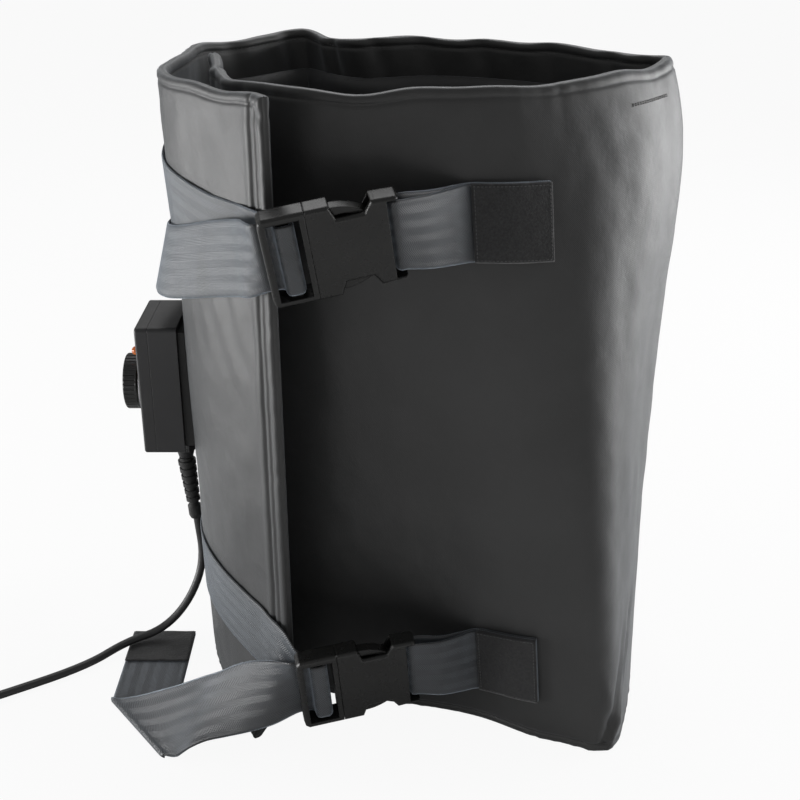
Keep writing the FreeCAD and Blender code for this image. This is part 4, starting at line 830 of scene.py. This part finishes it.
def on_wall(share, height, offset, lean=0.0):
    """A station that follows the wall, its lower edge leaning out."""
    tilt = math.radians(lean)
    reach = WEBBING_WIDTH / MM / 2
    slope = wall_point(share, height + reach) - wall_point(share, height - reach)
    slope /= np.linalg.norm(slope)
    across = slope * math.cos(tilt) - wall_normal(share, height) * math.sin(tilt)
    return station(wall_point(share, height, offset), across)


def along_wall(knots, step=0.0125):
    """Stations at even steps between knots of share, height, offset, lean."""
    table = np.array(knots, float)
    count = max(2, round(abs(table[-1, 0] - table[0, 0]) / step))
    order = np.argsort(table[:, 0])
    stations = []
    for share in np.linspace(table[0, 0], table[-1, 0], count + 1):
        rest = [np.interp(share, table[order, 0], table[order, k]) for k in range(1, table.shape[1])]
        stations.append(on_wall(share, *rest))
    return stations


def on_buckle(level, along, out, aside=0.0):
    """A station beside a buckle: along the strap, off the wall and across."""
    spot, (forward, leaned, outward) = BUCKLES[level]
    return station(spot + forward * along + leaned * aside + outward * out, leaned)


print("webbing", WEBBING_WIDTH / MM, "x", round(WEB, 2), "mm")

# %% [markdown]
# A centripetal curve through the stations never overshoots, not even where the
# webbing turns tightly round a bar. It carries the half-widths along with the
# middle, so the webbing twists as evenly as it bends.


# %% Path through stations
def smooth_path(stations, step):
    """Centres and half-widths along a centripetal curve through stations."""
    knots = np.array(stations)
    gaps = np.maximum(np.linalg.norm(np.diff(knots[:, :3], axis=0), axis=1), 0.05)
    times = np.sqrt(gaps)
    slopes = np.zeros_like(knots)
    slopes[0] = (knots[1] - knots[0]) / times[0]
    slopes[-1] = (knots[-1] - knots[-2]) / times[-1]
    for n in range(1, len(knots) - 1):
        before, after = times[n - 1], times[n]
        slopes[n] = (
            (knots[n] - knots[n - 1]) / before
            - (knots[n + 1] - knots[n - 1]) / (before + after)
            + (knots[n + 1] - knots[n]) / after
        )
    rows = []
    for n, gap in enumerate(gaps):
        count = max(1, round(gap / step))
        part = np.linspace(0, 1, count, endpoint=False)[:, None]
        rows.append(
            knots[n] * (1 - part) ** 2 * (1 + 2 * part)
            + knots[n + 1] * part**2 * (3 - 2 * part)
            + slopes[n] * times[n] * part * (1 - part) ** 2
            - slopes[n + 1] * times[n] * part**2 * (1 - part)
        )
    rows.append(knots[-1:])
    path = np.concatenate(rows)
    return path[:, :3], path[:, 3:]


print("path helper ready")

# %% [markdown]
# The webbing itself is a flat tube round that path. Its section has the five
# raised bands and thin round edges, and its two ends are cut square.

# %% Webbing body
ROUND_FROM = 0.955


def webbing_object(
    name, stations, material, thickness=WEB, step=1.5, cells=30, relief=0.025, wobble=0.0
):
    """Flat cloth along stations, closed and with cut ends."""
    centres, halves = smooth_path(stations, step)
    tangents = np.gradient(centres, axis=0)
    outward = np.cross(tangents, halves)
    outward /= np.linalg.norm(outward, axis=1, keepdims=True)
    part = np.linspace(-1, 1, cells + 1)
    width = 2 * np.linalg.norm(halves[0])
    band = np.abs(np.sin(math.pi * BANDS * (part + 1) / 2))
    edge_round = np.sqrt(1 - np.clip((np.abs(part) - ROUND_FROM) / (1 - ROUND_FROM), 0, 1) ** 2)
    height = (thickness / 2 + relief * (band - 0.5)) * edge_round
    run = np.concatenate([[0], np.cumsum(np.linalg.norm(np.diff(centres, axis=0), axis=1))])
    dents = ripples(
        part[None, :] * width / 2, run[:, None], seed=41, count=14, shortest=5, longest=26
    )
    uneven = wobble * dents
    face = centres[:, None] + halves[:, None] * part[None, :, None]
    top = face + outward[:, None] * (height[None, :] + uneven)[..., None]
    bottom = face - outward[:, None] * (height[None, :] - uneven)[..., None]
    grid = np.concatenate([top, bottom[:, -2:0:-1]], axis=1)
    across_map = np.concatenate([part, part[-2:0:-1], part[:1]])
    chart = np.zeros((len(run), grid.shape[1] + 1, 2))
    chart[..., 0] = (across_map + 1) * width / 2 * MM
    chart[..., 1] = run[:, None] * MM
    obj = grid_object(name, grid * MM, chart, True, material)
    shape = bmesh.new()
    shape.from_mesh(obj.data)
    shape.verts.ensure_lookup_table()
    columns = grid.shape[1]
    for first in (0, len(shape.verts) - columns):
        shape.faces.new([shape.verts[first + n] for n in range(columns)])
    bmesh.ops.recalc_face_normals(shape, faces=shape.faces)
    for made in shape.faces:
        made.smooth = len(made.verts) == 4
    shape.to_mesh(obj.data)
    shape.free()
    return obj


print("webbing body ready")

# %% [markdown]
# ## Round the ladder frame
# The long strap comes in behind the frame, goes up through the inner slot, over
# the middle bar, down through the outer slot and out under the end rail. Each
# place in the list is a distance along the buckle and one out of it. A strap
# that arrives a little above or below the buckle's middle drifts back to it
# over the first few stations.

# %% Ladder frame
BAR_ROOM = 1.1
DRIFT_SHARES = (0.34, 0.13, 0.03)


def ladder_stations(level, arriving):
    """Behind the frame, up through it, over its middle bar and out again."""
    rail_end = -FRAME_LENGTH
    slot_start = rail_end + RAIL
    bar_start = slot_start + OUTER_SLOT
    bar_end = bar_start + BAR
    behind = -BUCKLE_HALF - WEB / 2 - BAR_ROOM
    inner = BUCKLE_HALF - RAIL_DEPTH - WEB / 2 - BAR_ROOM - 0.3
    clear = WEB / 2 + BAR_ROOM
    shoulder = BAR_TOP + 0.75 * clear - 0.5
    places = [
        (rail_end + 3, behind),
        (slot_start + 4, behind),
        (bar_start + 2, behind),
        (bar_end - 1.6, behind + 0.3),
        (bar_end + clear - 0.4, behind + 2.4),
        (bar_end + clear, inner),
        (bar_end + clear, BAR_TOP - 1.8),
        (bar_end + 0.75 * clear, shoulder),
        (bar_end, BAR_TOP + clear),
        ((bar_start + bar_end) / 2, BAR_TOP + clear + 0.2),
        (bar_start, BAR_TOP + clear),
        (bar_start - 0.75 * clear, shoulder),
        (bar_start - clear, BAR_TOP - 1.8),
        (bar_start - clear - 0.4, inner + 2.2),
        (slot_start + 2.2, inner + 0.2),
        (rail_end + 1.5, inner),
        (rail_end - 2.5, inner),
    ]
    seam_spot, directions = BUCKLES[level]
    drift = float(np.dot(arriving[:3] - seam_spot, directions[1]))
    stations = [on_buckle(level, along, out) for along, out in places]
    for n, part in enumerate(DRIFT_SHARES):
        stations[n] = on_buckle(level, *places[n], drift * part)
    return stations


print("room round the bar", BAR_ROOM, "mm")

# %% [markdown]
# ## Upper strap
# It is sewn on at the back left and follows the wall to the flap. Each knot is
# a share of the wall, a height and an offset, and stations follow at even steps
# between the knots. From the frame its tail runs back over it, lower and
# further out, with its lower edge leaning away from the wall.

# %% Upper strap
upper_band = along_wall(
    [
        (0.735, 345, ON_FACE), (0.82, 345, ON_FACE), (0.85, 343, ON_FACE),
        (0.87, 341, ON_FACE), (0.89, 336.5, ON_FACE), (0.91, 332.5, ON_FACE),
        (0.93, 329.6, ON_FACE), (0.95, 328, ON_FACE), (0.975, 328, ON_FACE),
    ]
)
upper_band += [on_wall(0.985, 328.3, ON_FACE + 1.2), on_wall(1, 328.5, ON_FACE + 2.4)]
upper_tail = along_wall(
    [
        (0.995, 326, 11.5, -6), (0.975, 321, 8.5, -2), (0.95, 314, 6.5, 3),
        (0.925, 306.5, 7.3, 8), (0.905, 301, 9, 13), (0.885, 297, 10.5, 14),
        (0.865, 294, 11.2, 15.5), (0.84, 291, 11, 14.5), (0.815, 289, 9.5, 11),
        (0.79, 288, 8, 8),
    ],
    step=0.015,
)
upper_path = upper_band + ladder_stations("upper", upper_band[-1]) + upper_tail
upper_strap = webbing_object("upper_webbing", upper_path, webbing_cloth)
print("upper strap", len(upper_strap.data.polygons), "faces")

# %% [markdown]
# ## Lower strap
# The lower tail drops from its buckle to the floor, folds under itself there
# and runs on to the back. Near the fold a station is a slanted cut from the
# near edge to the far edge, so that the fold comes out as a straight corner.

# %% Lower strap
lower_band = along_wall(
    [
        (0.735, 85, ON_FACE), (0.82, 82, ON_FACE), (0.875, 80.5, ON_FACE),
        (0.9, 79, ON_FACE), (0.925, 77.5, ON_FACE), (0.95, 75.5, ON_FACE), (0.975, 72, ON_FACE),
    ]
)
lower_band += [on_wall(0.985, 70, ON_FACE + 1.2), on_wall(1, 67, ON_FACE + 2.2)]
FOLD_MIDDLE = np.array([-184.6, -92.2, 0])
ARRIVING = np.array([-0.966, 0.259, 0])
LEFT_OF_ARRIVING = np.array([0.259, 0.966, 0])
TO_LEFT = np.array([-1.0, 0, 0])
TO_BACK = np.array([0, 1.0, 0])
OUT_OF_FOLD = np.array([-0.784, -0.62, 0])
UP = np.array([0, 0, 1.0])
HALF = WEBBING_WIDTH / MM / 2
FOLD_LEAD = HALF * 1.335
FOLD_BACK = HALF * 1.29
UNDER = WEB / 2
OVER = UNDER + WEB + 3 * GAP


def cut_between(near, far):
    return np.concatenate([(near + far) / 2, (far - near) / 2])


def arriving_cut(near_reach, near_height, far_reach, far_height):
    near = FOLD_MIDDLE + ARRIVING * near_reach - LEFT_OF_ARRIVING * HALF + UP * near_height
    far = FOLD_MIDDLE + ARRIVING * far_reach + LEFT_OF_ARRIVING * HALF + UP * far_height
    return cut_between(near, far)


def leaving_cut(near_reach, far_reach, out=0.0, height=UNDER):
    shift = OUT_OF_FOLD * out + UP * height
    near = FOLD_MIDDLE + TO_BACK * near_reach - TO_LEFT * HALF + shift
    far = FOLD_MIDDLE + TO_BACK * far_reach + TO_LEFT * HALF + shift
    return cut_between(near, far)


falling = [
    station((-90, -120, 50.5), (0.05, 0.1, 1)),
    station((-104, -116.5, 45.5), (0.1, 0.4, 0.92)),
    station((-118, -112, 39), (0.12, 0.62, 0.78)),
    station((-131, -108, 31.5), (0.12, 0.8, 0.6)),
]
landing = [
    arriving_cut(-48.9, 13.8, -37.9, 33),
    arriving_cut(-43, 8.4, -19.3, 22.6),
    arriving_cut(-39, 4.6, -2, 14),
    arriving_cut(-36, OVER + 0.3, 11, 8),
    arriving_cut(-33.6, OVER, 20, OVER + 1.7),
    arriving_cut(-31.7, OVER, 25.8, OVER + 0.2),
    arriving_cut(-FOLD_LEAD, OVER, FOLD_LEAD, OVER),
]
LYING_REACHES = [
    (-FOLD_BACK, FOLD_BACK), (3 - FOLD_BACK, 2 + FOLD_BACK), (10 - FOLD_BACK, 5 + FOLD_BACK),
    (0, 40), (24, 50), (46, 62), (67, 77), (88, 91.5), (106, 106),
]
lying = [leaving_cut(-FOLD_BACK, FOLD_BACK, out=1.0, height=(OVER + UNDER) / 2)]
lying += [leaving_cut(near, far) for near, far in LYING_REACHES]
lower_path = lower_band + ladder_stations("lower", lower_band[-1]) + falling + landing + lying
lower_strap = webbing_object("lower_webbing", lower_path, webbing_cloth)
print("lower strap", len(lower_strap.data.polygons), "faces")

# %% [markdown]
# ## Short straps
# A short strap holds each socket: a loop round the socket's bar, whose two
# ends lie on each other on the wall under a gripping patch. The patch is made
# like webbing, without the bands and a little uneven.

# %% Short straps and their patches
# First and last share of the patch, and the height at each
UPPER_PATCH_PLACE = (0.2425, 0.2875, 337, 336)
LOWER_PATCH_PLACE = (0.2325, 0.2725, 50, 53)
FRONT_LAYER = ON_FACE + WEB + GAP
PATCH_SEAT = 0.7
PATCH_OFFSET = FRONT_LAYER + WEB / 2 + GAP + PATCH_SEAT
LOOP_REACH = SOCKET_BAR_RADIUS + WEB / 2 + 0.5
BOW = 5
PATCH_THICKNESS = 1.1


def between(first, second, part, out):
    """A station between two others, bowed towards the front."""
    mixed = first * (1 - part) + second * part
    mixed[1] -= out
    return mixed


def gripping_patch(name, stations):
    return webbing_object(
        name, stations, patch_cloth, PATCH_THICKNESS, step=1.2, cells=34, relief=0.0, wobble=0.12
    )


def short_strap(level, first, last, first_height, last_height):
    def on_patch(depth):
        return along_wall([(last, last_height, depth), (first, first_height, depth)])

    wall_side = on_patch(ON_FACE)
    front_side = on_patch(FRONT_LAYER)[::-1]
    turn = [on_buckle(level, SOCKET_BAR_MIDDLE + 4.5, -LOOP_REACH - 0.3)]
    for degrees in range(-72, 109, 36):
        angle = math.radians(degrees + 180)
        along = SOCKET_BAR_MIDDLE + LOOP_REACH * math.cos(angle)
        turn.append(on_buckle(level, along, -LOOP_REACH * math.sin(angle)))
    out = [between(wall_side[-1], turn[0], part, BOW * part) for part in (0.3, 0.62)]
    back = [between(turn[-1], front_side[0], part, BOW * (1 - part)) for part in (0.38, 0.7)]
    path = wall_side + out + turn + back + front_side
    strap = webbing_object(f"{level}_short_webbing", path, webbing_cloth)
    patch = gripping_patch(f"{level}_gripping_patch", on_patch(PATCH_OFFSET)[::-1])
    return strap, patch


upper_short, upper_patch = short_strap("upper", *UPPER_PATCH_PLACE)
lower_short, lower_patch = short_strap("lower", *LOWER_PATCH_PLACE)
print("short straps made")

# %% [markdown]
# Each tail ends in a patch too. It follows the last stations of its strap,
# moved off the webbing by half of both thicknesses and a small gap.


# %% Patches on the tails
def lifted(stations, lift):
    """Stations moved off the same face of the webbing."""
    along = stations[-1][:3] - stations[0][:3]
    along /= np.linalg.norm(along)
    moved = []
    for one in stations:
        side = one[3:] / np.linalg.norm(one[3:])
        spot = one[:3] + np.cross(along, side) * lift
        moved.append(np.concatenate([spot, side * HALF]))
    return moved


PATCH_LIFT = WEB / 2 + GAP + 0.2 + PATCH_THICKNESS / 2
TAIL_PATCH_LENGTH = 35
lying_end = lying[-1]
lying_start = lying_end.copy()
lying_start[:3] -= TO_BACK * TAIL_PATCH_LENGTH
lower_tail_patch = gripping_patch("lower_end_patch", lifted([lying_start, lying_end], PATCH_LIFT))
upper_tail_patch = gripping_patch("upper_end_patch", lifted(upper_tail[-3:], PATCH_LIFT))
print("tail patches", TAIL_PATCH_LENGTH, "mm long")

# %% [markdown]
# ## Mains lead
# The lead leaves the gland through a ribbed sleeve, hangs to the floor and runs
# off to the left, where its spare length lies in a neat coil that ends in the
# plug. The points of its route are given. The coil's turns are made by
# a loop: each lies in its own place of the bundle and moves over to the next
# place in the last quarter of the turn.

# %% Lead
CORD_DIAMETER = 5.6
LEAD_ROUTE = [
    (-161, 28, 176),
    (-161, 28, 138.9),
    (-157.4, 28, 91),
    (-153.5, 24, 57),
    (-164.5, 12, 30),
    (-184.5, 6, 9.3),
    (-209, -4, 6.3),
    (-232, -28, 2.9),
    (-283, -60.5, 2.9),
]
COIL_MIDDLE = np.array([-345, -70, 10.4])
COIL_RADIUS = 33
BUNDLE_RADIUS = 6.2
TURNS = 6
POINTS_PER_TURN = 14
PLACES_ROUND = 6
FIRST_PLACE = 210
COIL_START = -60
MOVE_FROM = 0.75
PLUG_APPROACH = np.array([-378, -45, 16])
PLUG_NECK = np.array([-378, -18, 18.5])

bundle = [np.zeros(2)]
for n in range(PLACES_ROUND):
    angle = math.radians(FIRST_PLACE + 360 / PLACES_ROUND * n)
    bundle.append(BUNDLE_RADIUS * np.array([math.cos(angle), math.sin(angle)]))
coil_points = []
last_point = TURNS * POINTS_PER_TURN + round(POINTS_PER_TURN / 3)
for n in range(last_point + 1):
    turns = n / POINTS_PER_TURN
    angle = math.radians(COIL_START) - 2 * math.pi * turns
    place = int(turns)
    move = min(1.0, max(0.0, (turns - place - MOVE_FROM) / (1 - MOVE_FROM)))
    spot = bundle[place] * (1 - move) + bundle[min(place + 1, PLACES_ROUND)] * move
    radius = COIL_RADIUS + spot[0]
    around = np.array([radius * math.cos(angle), radius * math.sin(angle), spot[1]])
    coil_points.append(COIL_MIDDLE + around)
lead_points = [np.array(p, float) for p in LEAD_ROUTE] + coil_points
lead_points += [PLUG_APPROACH, PLUG_NECK]
print("coil of", len(coil_points), "points")

# %% [markdown]
# One smooth spline follows those points. Before it gets its thickness, its bare
# line is turned into a mesh and measured, so the length that is printed is the
# length that is there.


# %% Lead along its route
def cord_object(name, points, radius, material):
    """A round cord on a smooth spline; returns it and its length in metres."""
    curve = bpy.data.curves.new(name, "CURVE")
    curve.dimensions = "3D"
    spline = curve.splines.new("NURBS")
    spline.points.add(len(points) - 1)
    for knot, spot in zip(spline.points, points):
        knot.co = (*(np.asarray(spot) * MM), 1)
    spline.order_u = 3
    spline.use_endpoint_u = True
    spline.resolution_u = 6
    curve.bevel_resolution = 4
    curve.use_fill_caps = True
    curve.materials.append(material)
    obj = bpy.data.objects.new(name, curve)
    scene.collection.objects.link(obj)
    bpy.context.view_layer.update()
    bare = bpy.data.meshes.new_from_object(obj)
    line = np.array([v.co for v in bare.vertices])
    bpy.data.meshes.remove(bare)
    curve.bevel_depth = radius * MM
    return obj, float(np.linalg.norm(np.diff(line, axis=0), axis=1).sum())


lead, lead_length = cord_object("mains_lead", lead_points, CORD_DIAMETER / 2, cord_rubber)
print("lead", round(lead_length, 3), "m")

# %% [markdown]
# ## Stitches
# Thread shows as long thin beads in a row. One node tree makes any row: it takes
# a line, spaces points along it and puts a stretched ball on each, turned along
# the line. The instances are made real, shaded smooth and given their material.


# %% Stitch tree
def stitch_tree():
    tree = bpy.data.node_groups.new("stitches", "GeometryNodeTree")
    tree.interface.new_socket("Geometry", in_out="INPUT", socket_type="NodeSocketGeometry")
    for name in ("Pitch", "Stitch Length", "Thread Radius"):
        tree.interface.new_socket(name, in_out="INPUT", socket_type="NodeSocketFloat")
    tree.interface.new_socket("Thread", in_out="INPUT", socket_type="NodeSocketMaterial")
    tree.interface.new_socket("Geometry", in_out="OUTPUT", socket_type="NodeSocketGeometry")
    nodes = tree.nodes
    given = nodes.new("NodeGroupInput")
    result = nodes.new("NodeGroupOutput")
    curve = nodes.new("GeometryNodeMeshToCurve")
    spaced = nodes.new("GeometryNodeResampleCurve")
    spaced.mode = "LENGTH"
    points = nodes.new("GeometryNodeCurveToPoints")
    points.mode = "EVALUATED"
    ball = nodes.new("GeometryNodeMeshUVSphere")
    ball.inputs["Segments"].default_value = 6
    ball.inputs["Rings"].default_value = 5
    ball.inputs["Radius"].default_value = 1.0
    size = nodes.new("ShaderNodeCombineXYZ")
    half_length = nodes.new("ShaderNodeMath")
    half_length.operation = "MULTIPLY"
    half_length.inputs[1].default_value = 0.5
    stitch = nodes.new("GeometryNodeTransform")
    place = nodes.new("GeometryNodeInstanceOnPoints")
    real = nodes.new("GeometryNodeRealizeInstances")
    smooth = nodes.new("GeometryNodeSetShadeSmooth")
    paint = nodes.new("GeometryNodeSetMaterial")
    for source, out, target, into in (
        (given, "Geometry", curve, "Mesh"),
        (curve, "Curve", spaced, "Curve"),
        (given, "Pitch", spaced, "Length"),
        (spaced, "Curve", points, "Curve"),
        (given, "Stitch Length", half_length, 0),
        (given, "Thread Radius", size, "X"),
        (given, "Thread Radius", size, "Y"),
        (half_length, 0, size, "Z"),
        (ball, "Mesh", stitch, "Geometry"),
        (size, "Vector", stitch, "Scale"),
        (points, "Points", place, "Points"),
        (points, "Rotation", place, "Rotation"),
        (stitch, "Geometry", place, "Instance"),
        (place, "Instances", real, "Geometry"),
        (real, "Geometry", smooth, "Geometry"),
        (smooth, "Geometry", paint, "Geometry"),
        (given, "Thread", paint, "Material"),
        (paint, "Geometry", result, "Geometry"),
    ):
        tree.links.new(source.outputs[out], target.inputs[into])
    return tree


STITCHES = stitch_tree()
print("stitch tree with", len(STITCHES.nodes), "nodes")

# %% [markdown]
# A row of stitches starts as a mesh of bare edges. The modifier's inputs are
# set by the identifier of each socket, the result is copied into a plain mesh,
# and the draft that carried the modifier is removed.


# %% Rows through the tree
def through_tree(name, source, tree, **inputs):
    """Run a mesh through a node tree and keep the result as a plain mesh."""
    draft = bpy.data.objects.new(name + "_draft", source)
    scene.collection.objects.link(draft)
    modifier = draft.modifiers.new("tree", "NODES")
    modifier.node_group = tree
    for item in tree.interface.items_tree:
        wanted = item.name.replace(" ", "_")
        if item.in_out == "INPUT" and wanted in inputs:
            modifier[item.identifier] = inputs[wanted]
    graph = bpy.context.evaluated_depsgraph_get()
    mesh = bpy.data.meshes.new_from_object(draft.evaluated_get(graph))
    mesh.name = name
    bpy.data.objects.remove(draft)
    obj = bpy.data.objects.new(name, mesh)
    scene.collection.objects.link(obj)
    return obj


def line_mesh(name, lines):
    """One mesh of edges from several lines of points in millimetres."""
    spots, edges = [], []
    for line in lines:
        first = len(spots)
        spots += [tuple(np.asarray(p) * MM) for p in line]
        edges += [(first + n, first + n + 1) for n in range(len(line) - 1)]
    mesh = bpy.data.meshes.new(name)
    mesh.from_pydata(spots, edges, [])
    return mesh


def stitches(name, lines, thread, pitch=3.2, length=2.3, radius=0.22):
    source = line_mesh(name, lines)
    return through_tree(
        name, source, STITCHES,
        Pitch=pitch * MM, Stitch_Length=length * MM, Thread_Radius=radius * MM, Thread=thread,
    )


print("rows of stitches ready")

# %% [markdown]
# Rows of stitches follow the rim and the foot of the cover, the flap's free
# edge, the lining's seams above and below, and the borders of the two patches
# on the wall. Near the top of the right side a short bar of thread closes the
# turning hole.

# %% Stitches on the cloth
SHARES = np.linspace(0.008, 0.992, 420)
LINING_SHARES = np.linspace(0.03, 0.97, 400)
CLOSING_SHARES = np.linspace(0.349, 0.3865, 30)
CLOSING_HEIGHT = 391.5
STITCH_DEPTH = 0.55
FLAP_STITCH_DEPTH = 0.95
LINING_STITCH_DEPTH = 9.4
LINING_SEAM = LINING_MARGIN + 1.6


def row_on_wall(shares, height, offset):
    return wall_point(shares, np.full_like(shares, height), np.full_like(shares, offset))


def column_on_wall(share, heights, offset):
    return wall_point(np.full_like(heights, share), heights, np.full_like(heights, offset))


inner_seam = -COVER_THICKNESS + 0.75
heights = np.linspace(8, HEIGHT - 8, 200)
flap_edge = 1 - FLAP_SEAM / LENGTH
cover_stitches = stitches(
    "cover_stitches",
    [
        row_on_wall(SHARES, HEIGHT - SEAM_LINE, -STITCH_DEPTH),
        row_on_wall(SHARES, SEAM_LINE, -STITCH_DEPTH),
        row_on_wall(SHARES, HEIGHT - SEAM_LINE, inner_seam),
        column_on_wall(flap_edge, heights, -FLAP_STITCH_DEPTH),
    ],
    dark_thread,
)
lining_stitches = stitches(
    "lining_stitches",
    [
        row_on_wall(LINING_SHARES, HEIGHT - LINING_SEAM, -LINING_STITCH_DEPTH),
        row_on_wall(LINING_SHARES, LINING_SEAM, -LINING_STITCH_DEPTH),
    ],
    dark_thread,
)
closing_bar = stitches(
    "closing_bar",
    [row_on_wall(CLOSING_SHARES, CLOSING_HEIGHT + n, 0.75) for n in (0, 1.0)],
    dark_thread, pitch=2.4, length=2.2, radius=0.4,
)
for row in (cover_stitches, lining_stitches, closing_bar):
    print(row.name, len(row.data.polygons), "faces")

# %% [markdown]
# A patch is sewn on all round. Its border line comes from the same stations as
# the patch: up one side at a small inset, and back along the other.

# %% Stitches round the patches
BORDER_INSET = 1.6
THREAD_LIFT = 0.62


def border_lines(stations, inset, lift):
    """A line round a patch, a little inside its border."""
    centres, halves = smooth_path(stations, 1.5)
    tangents = np.gradient(centres, axis=0)
    tangents /= np.linalg.norm(tangents, axis=1, keepdims=True)
    outward = np.cross(tangents, halves)
    outward /= np.linalg.norm(outward, axis=1, keepdims=True)
    face = centres + outward * lift
    keep = 1 - inset / HALF
    first, last = 1, len(face) - 2
    ring = [face[n] + halves[n] * keep for n in range(first, last + 1)]
    ring += [face[n] - halves[n] * keep for n in range(last, first - 1, -1)]
    ring.append(ring[0])
    return ring


def patch_stations(first, last, first_height, last_height):
    return along_wall([(first, first_height, PATCH_OFFSET), (last, last_height, PATCH_OFFSET)])


patch_stitches = stitches(
    "patch_stitches",
    [
        border_lines(patch_stations(*place), BORDER_INSET, THREAD_LIFT)
        for place in (UPPER_PATCH_PLACE, LOWER_PATCH_PLACE)
    ],
    grey_thread, pitch=2.2, length=1.6, radius=0.17,
)
print("patch stitches", len(patch_stitches.data.polygons), "faces")

# %% [markdown]
# ## What rides on what
# The cloth, the lead and the stitches ride on the jacket. The imported pieces
# that the cloth and the lead stand for are hidden.

# %% On the jacket
for piece, nodes, finish_slot in (
    (cover, ["outer_cover"], "cover_fabric"),
    (lining, ["inner_liner"], "liner_fabric"),
    (upper_short, ["upper_short_strap"], "webbing"),
    (lower_short, ["lower_short_strap"], "webbing"),
    (upper_patch, ["upper_hook_patch"], "hook_patch"),
    (lower_patch, ["lower_hook_patch"], "hook_patch"),
    (lead, ["power_cord", "cord_coil", "plug_lead"], "cord_rubber"),
    (cover_stitches, [], "cover_fabric"),
    (lining_stitches, [], "liner_fabric"),
    (closing_bar, [], "cover_fabric"),
    (patch_stitches, [], "hook_patch"),
):
    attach(piece, "jacket")
    if nodes:
        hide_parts(*nodes)

print("the cloth rides on the jacket")

# %% [markdown]
# The webbing threads through the latch's frame. Each long strap and its tail's
# patch stay where they are made, and the imported pieces that they stand for
# are hidden.

for level, strap, tail_patch in (
    ("upper", upper_strap, upper_tail_patch),
    ("lower", lower_strap, lower_tail_patch),
):
    seam_spot, directions = BUCKLES[level]
    for piece, replaced, finish_slot in (
        (strap, f"{level}_strap", "webbing"),
        (tail_patch, f"{level}_tail_patch", "hook_patch"),
    ):
        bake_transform(piece)
        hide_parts(replaced)

# %% [markdown]
# The cover and the lining are padded, and the lead is a cord of a real length
# with a plug on its end.

# %% [markdown]
# ## Floor and light
# The picture has a white ground and two broad soft lights, one on each side,
# with little from the front, so the front stays dark and both sides shine. The
# floor is partly white by itself for the camera, and partly lit, which keeps a
# faint shadow.

# %% Floor and world
GROUND_HALF = 6.0
GROUND_DROP = 0.6 * MM
GROUND_GLOW = 0.93
WORLD_LIGHT = 0.3


def white_ground():
    material = bpy.data.materials.new("ground")
    material.use_nodes = True
    tree = material.node_tree
    tree.nodes.clear()
    out = tree.nodes.new("ShaderNodeOutputMaterial")
    lit = tree.nodes.new("ShaderNodeBsdfDiffuse")
    lit.inputs["Color"].default_value = (0.82, 0.82, 0.82, 1)
    white = tree.nodes.new("ShaderNodeEmission")
    white.inputs["Strength"].default_value = 1.0
    ray = tree.nodes.new("ShaderNodeLightPath")
    share = maths(material, "MULTIPLY", ray.outputs["Is Camera Ray"], GROUND_GLOW)
    mix = tree.nodes.new("ShaderNodeMixShader")
    join(material, share, mix.inputs["Fac"])
    join(material, lit.outputs["BSDF"], mix.inputs[1])
    join(material, white.outputs["Emission"], mix.inputs[2])
    join(material, mix.outputs["Shader"], out.inputs["Surface"])
    return material


def white_world(light):
    world = bpy.data.worlds.new("studio")
    world.use_nodes = True
    tree = world.node_tree
    ground = tree.nodes["Background"]
    ray = tree.nodes.new("ShaderNodeLightPath")
    dim = tree.nodes.new("ShaderNodeMapRange")
    dim.inputs["To Min"].default_value = light
    dim.inputs["To Max"].default_value = 1.0
    tree.links.new(ray.outputs["Is Camera Ray"], dim.inputs["Value"])
    tree.links.new(dim.outputs["Result"], ground.inputs["Strength"])
    ground.inputs["Color"].default_value = (1, 1, 1, 1)
    scene.world = world


floor_mesh = bpy.data.meshes.new("ground")
corners = [(x * GROUND_HALF, y * GROUND_HALF, 0) for x, y in ((-1, -1), (1, -1), (1, 1), (-1, 1))]
floor_mesh.from_pydata(corners, [], [(0, 1, 2, 3)])
floor_mesh.materials.append(white_ground())
ground = bpy.data.objects.new("ground", floor_mesh)
ground.location.z = -GROUND_DROP
scene.collection.objects.link(ground)
white_world(WORLD_LIGHT)
print("ground", 2 * GROUND_HALF, "m wide")

# %% [markdown]
# The two side lamps stand low, so that they graze the front. A weaker one from
# above and behind brings out the rim, and a faint strip low in front keeps the
# foot from going black.


# %% Lamps
def lamp(name, spot, aim, size, power):
    data = bpy.data.lights.new(name, "AREA")
    data.shape = "RECTANGLE"
    data.size, data.size_y = size
    data.energy = power
    obj = bpy.data.objects.new(name, data)
    obj.location = spot
    obj.rotation_euler = (Vector(aim) - Vector(spot)).to_track_quat("-Z", "Y").to_euler()
    scene.collection.objects.link(obj)


lamp("left_light", (-1.33, -0.18, 0.06), (0, 0, 0.1), (1.0, 0.5), 24)
lamp("right_light", (1.3, 0.42, 0.2), (0, 0, 0.2), (0.9, 1.0), 20)
lamp("top_light", (0.1, 0.9, 1.4), (0, 0, 0.3), (1.2, 1.0), 9)
lamp("low_front_light", (0.05, -1.0, 0.08), (0, 0, 0.05), (1.4, 0.14), 0.6)
scene.view_settings.view_transform = "Standard"
print("four lamps placed")
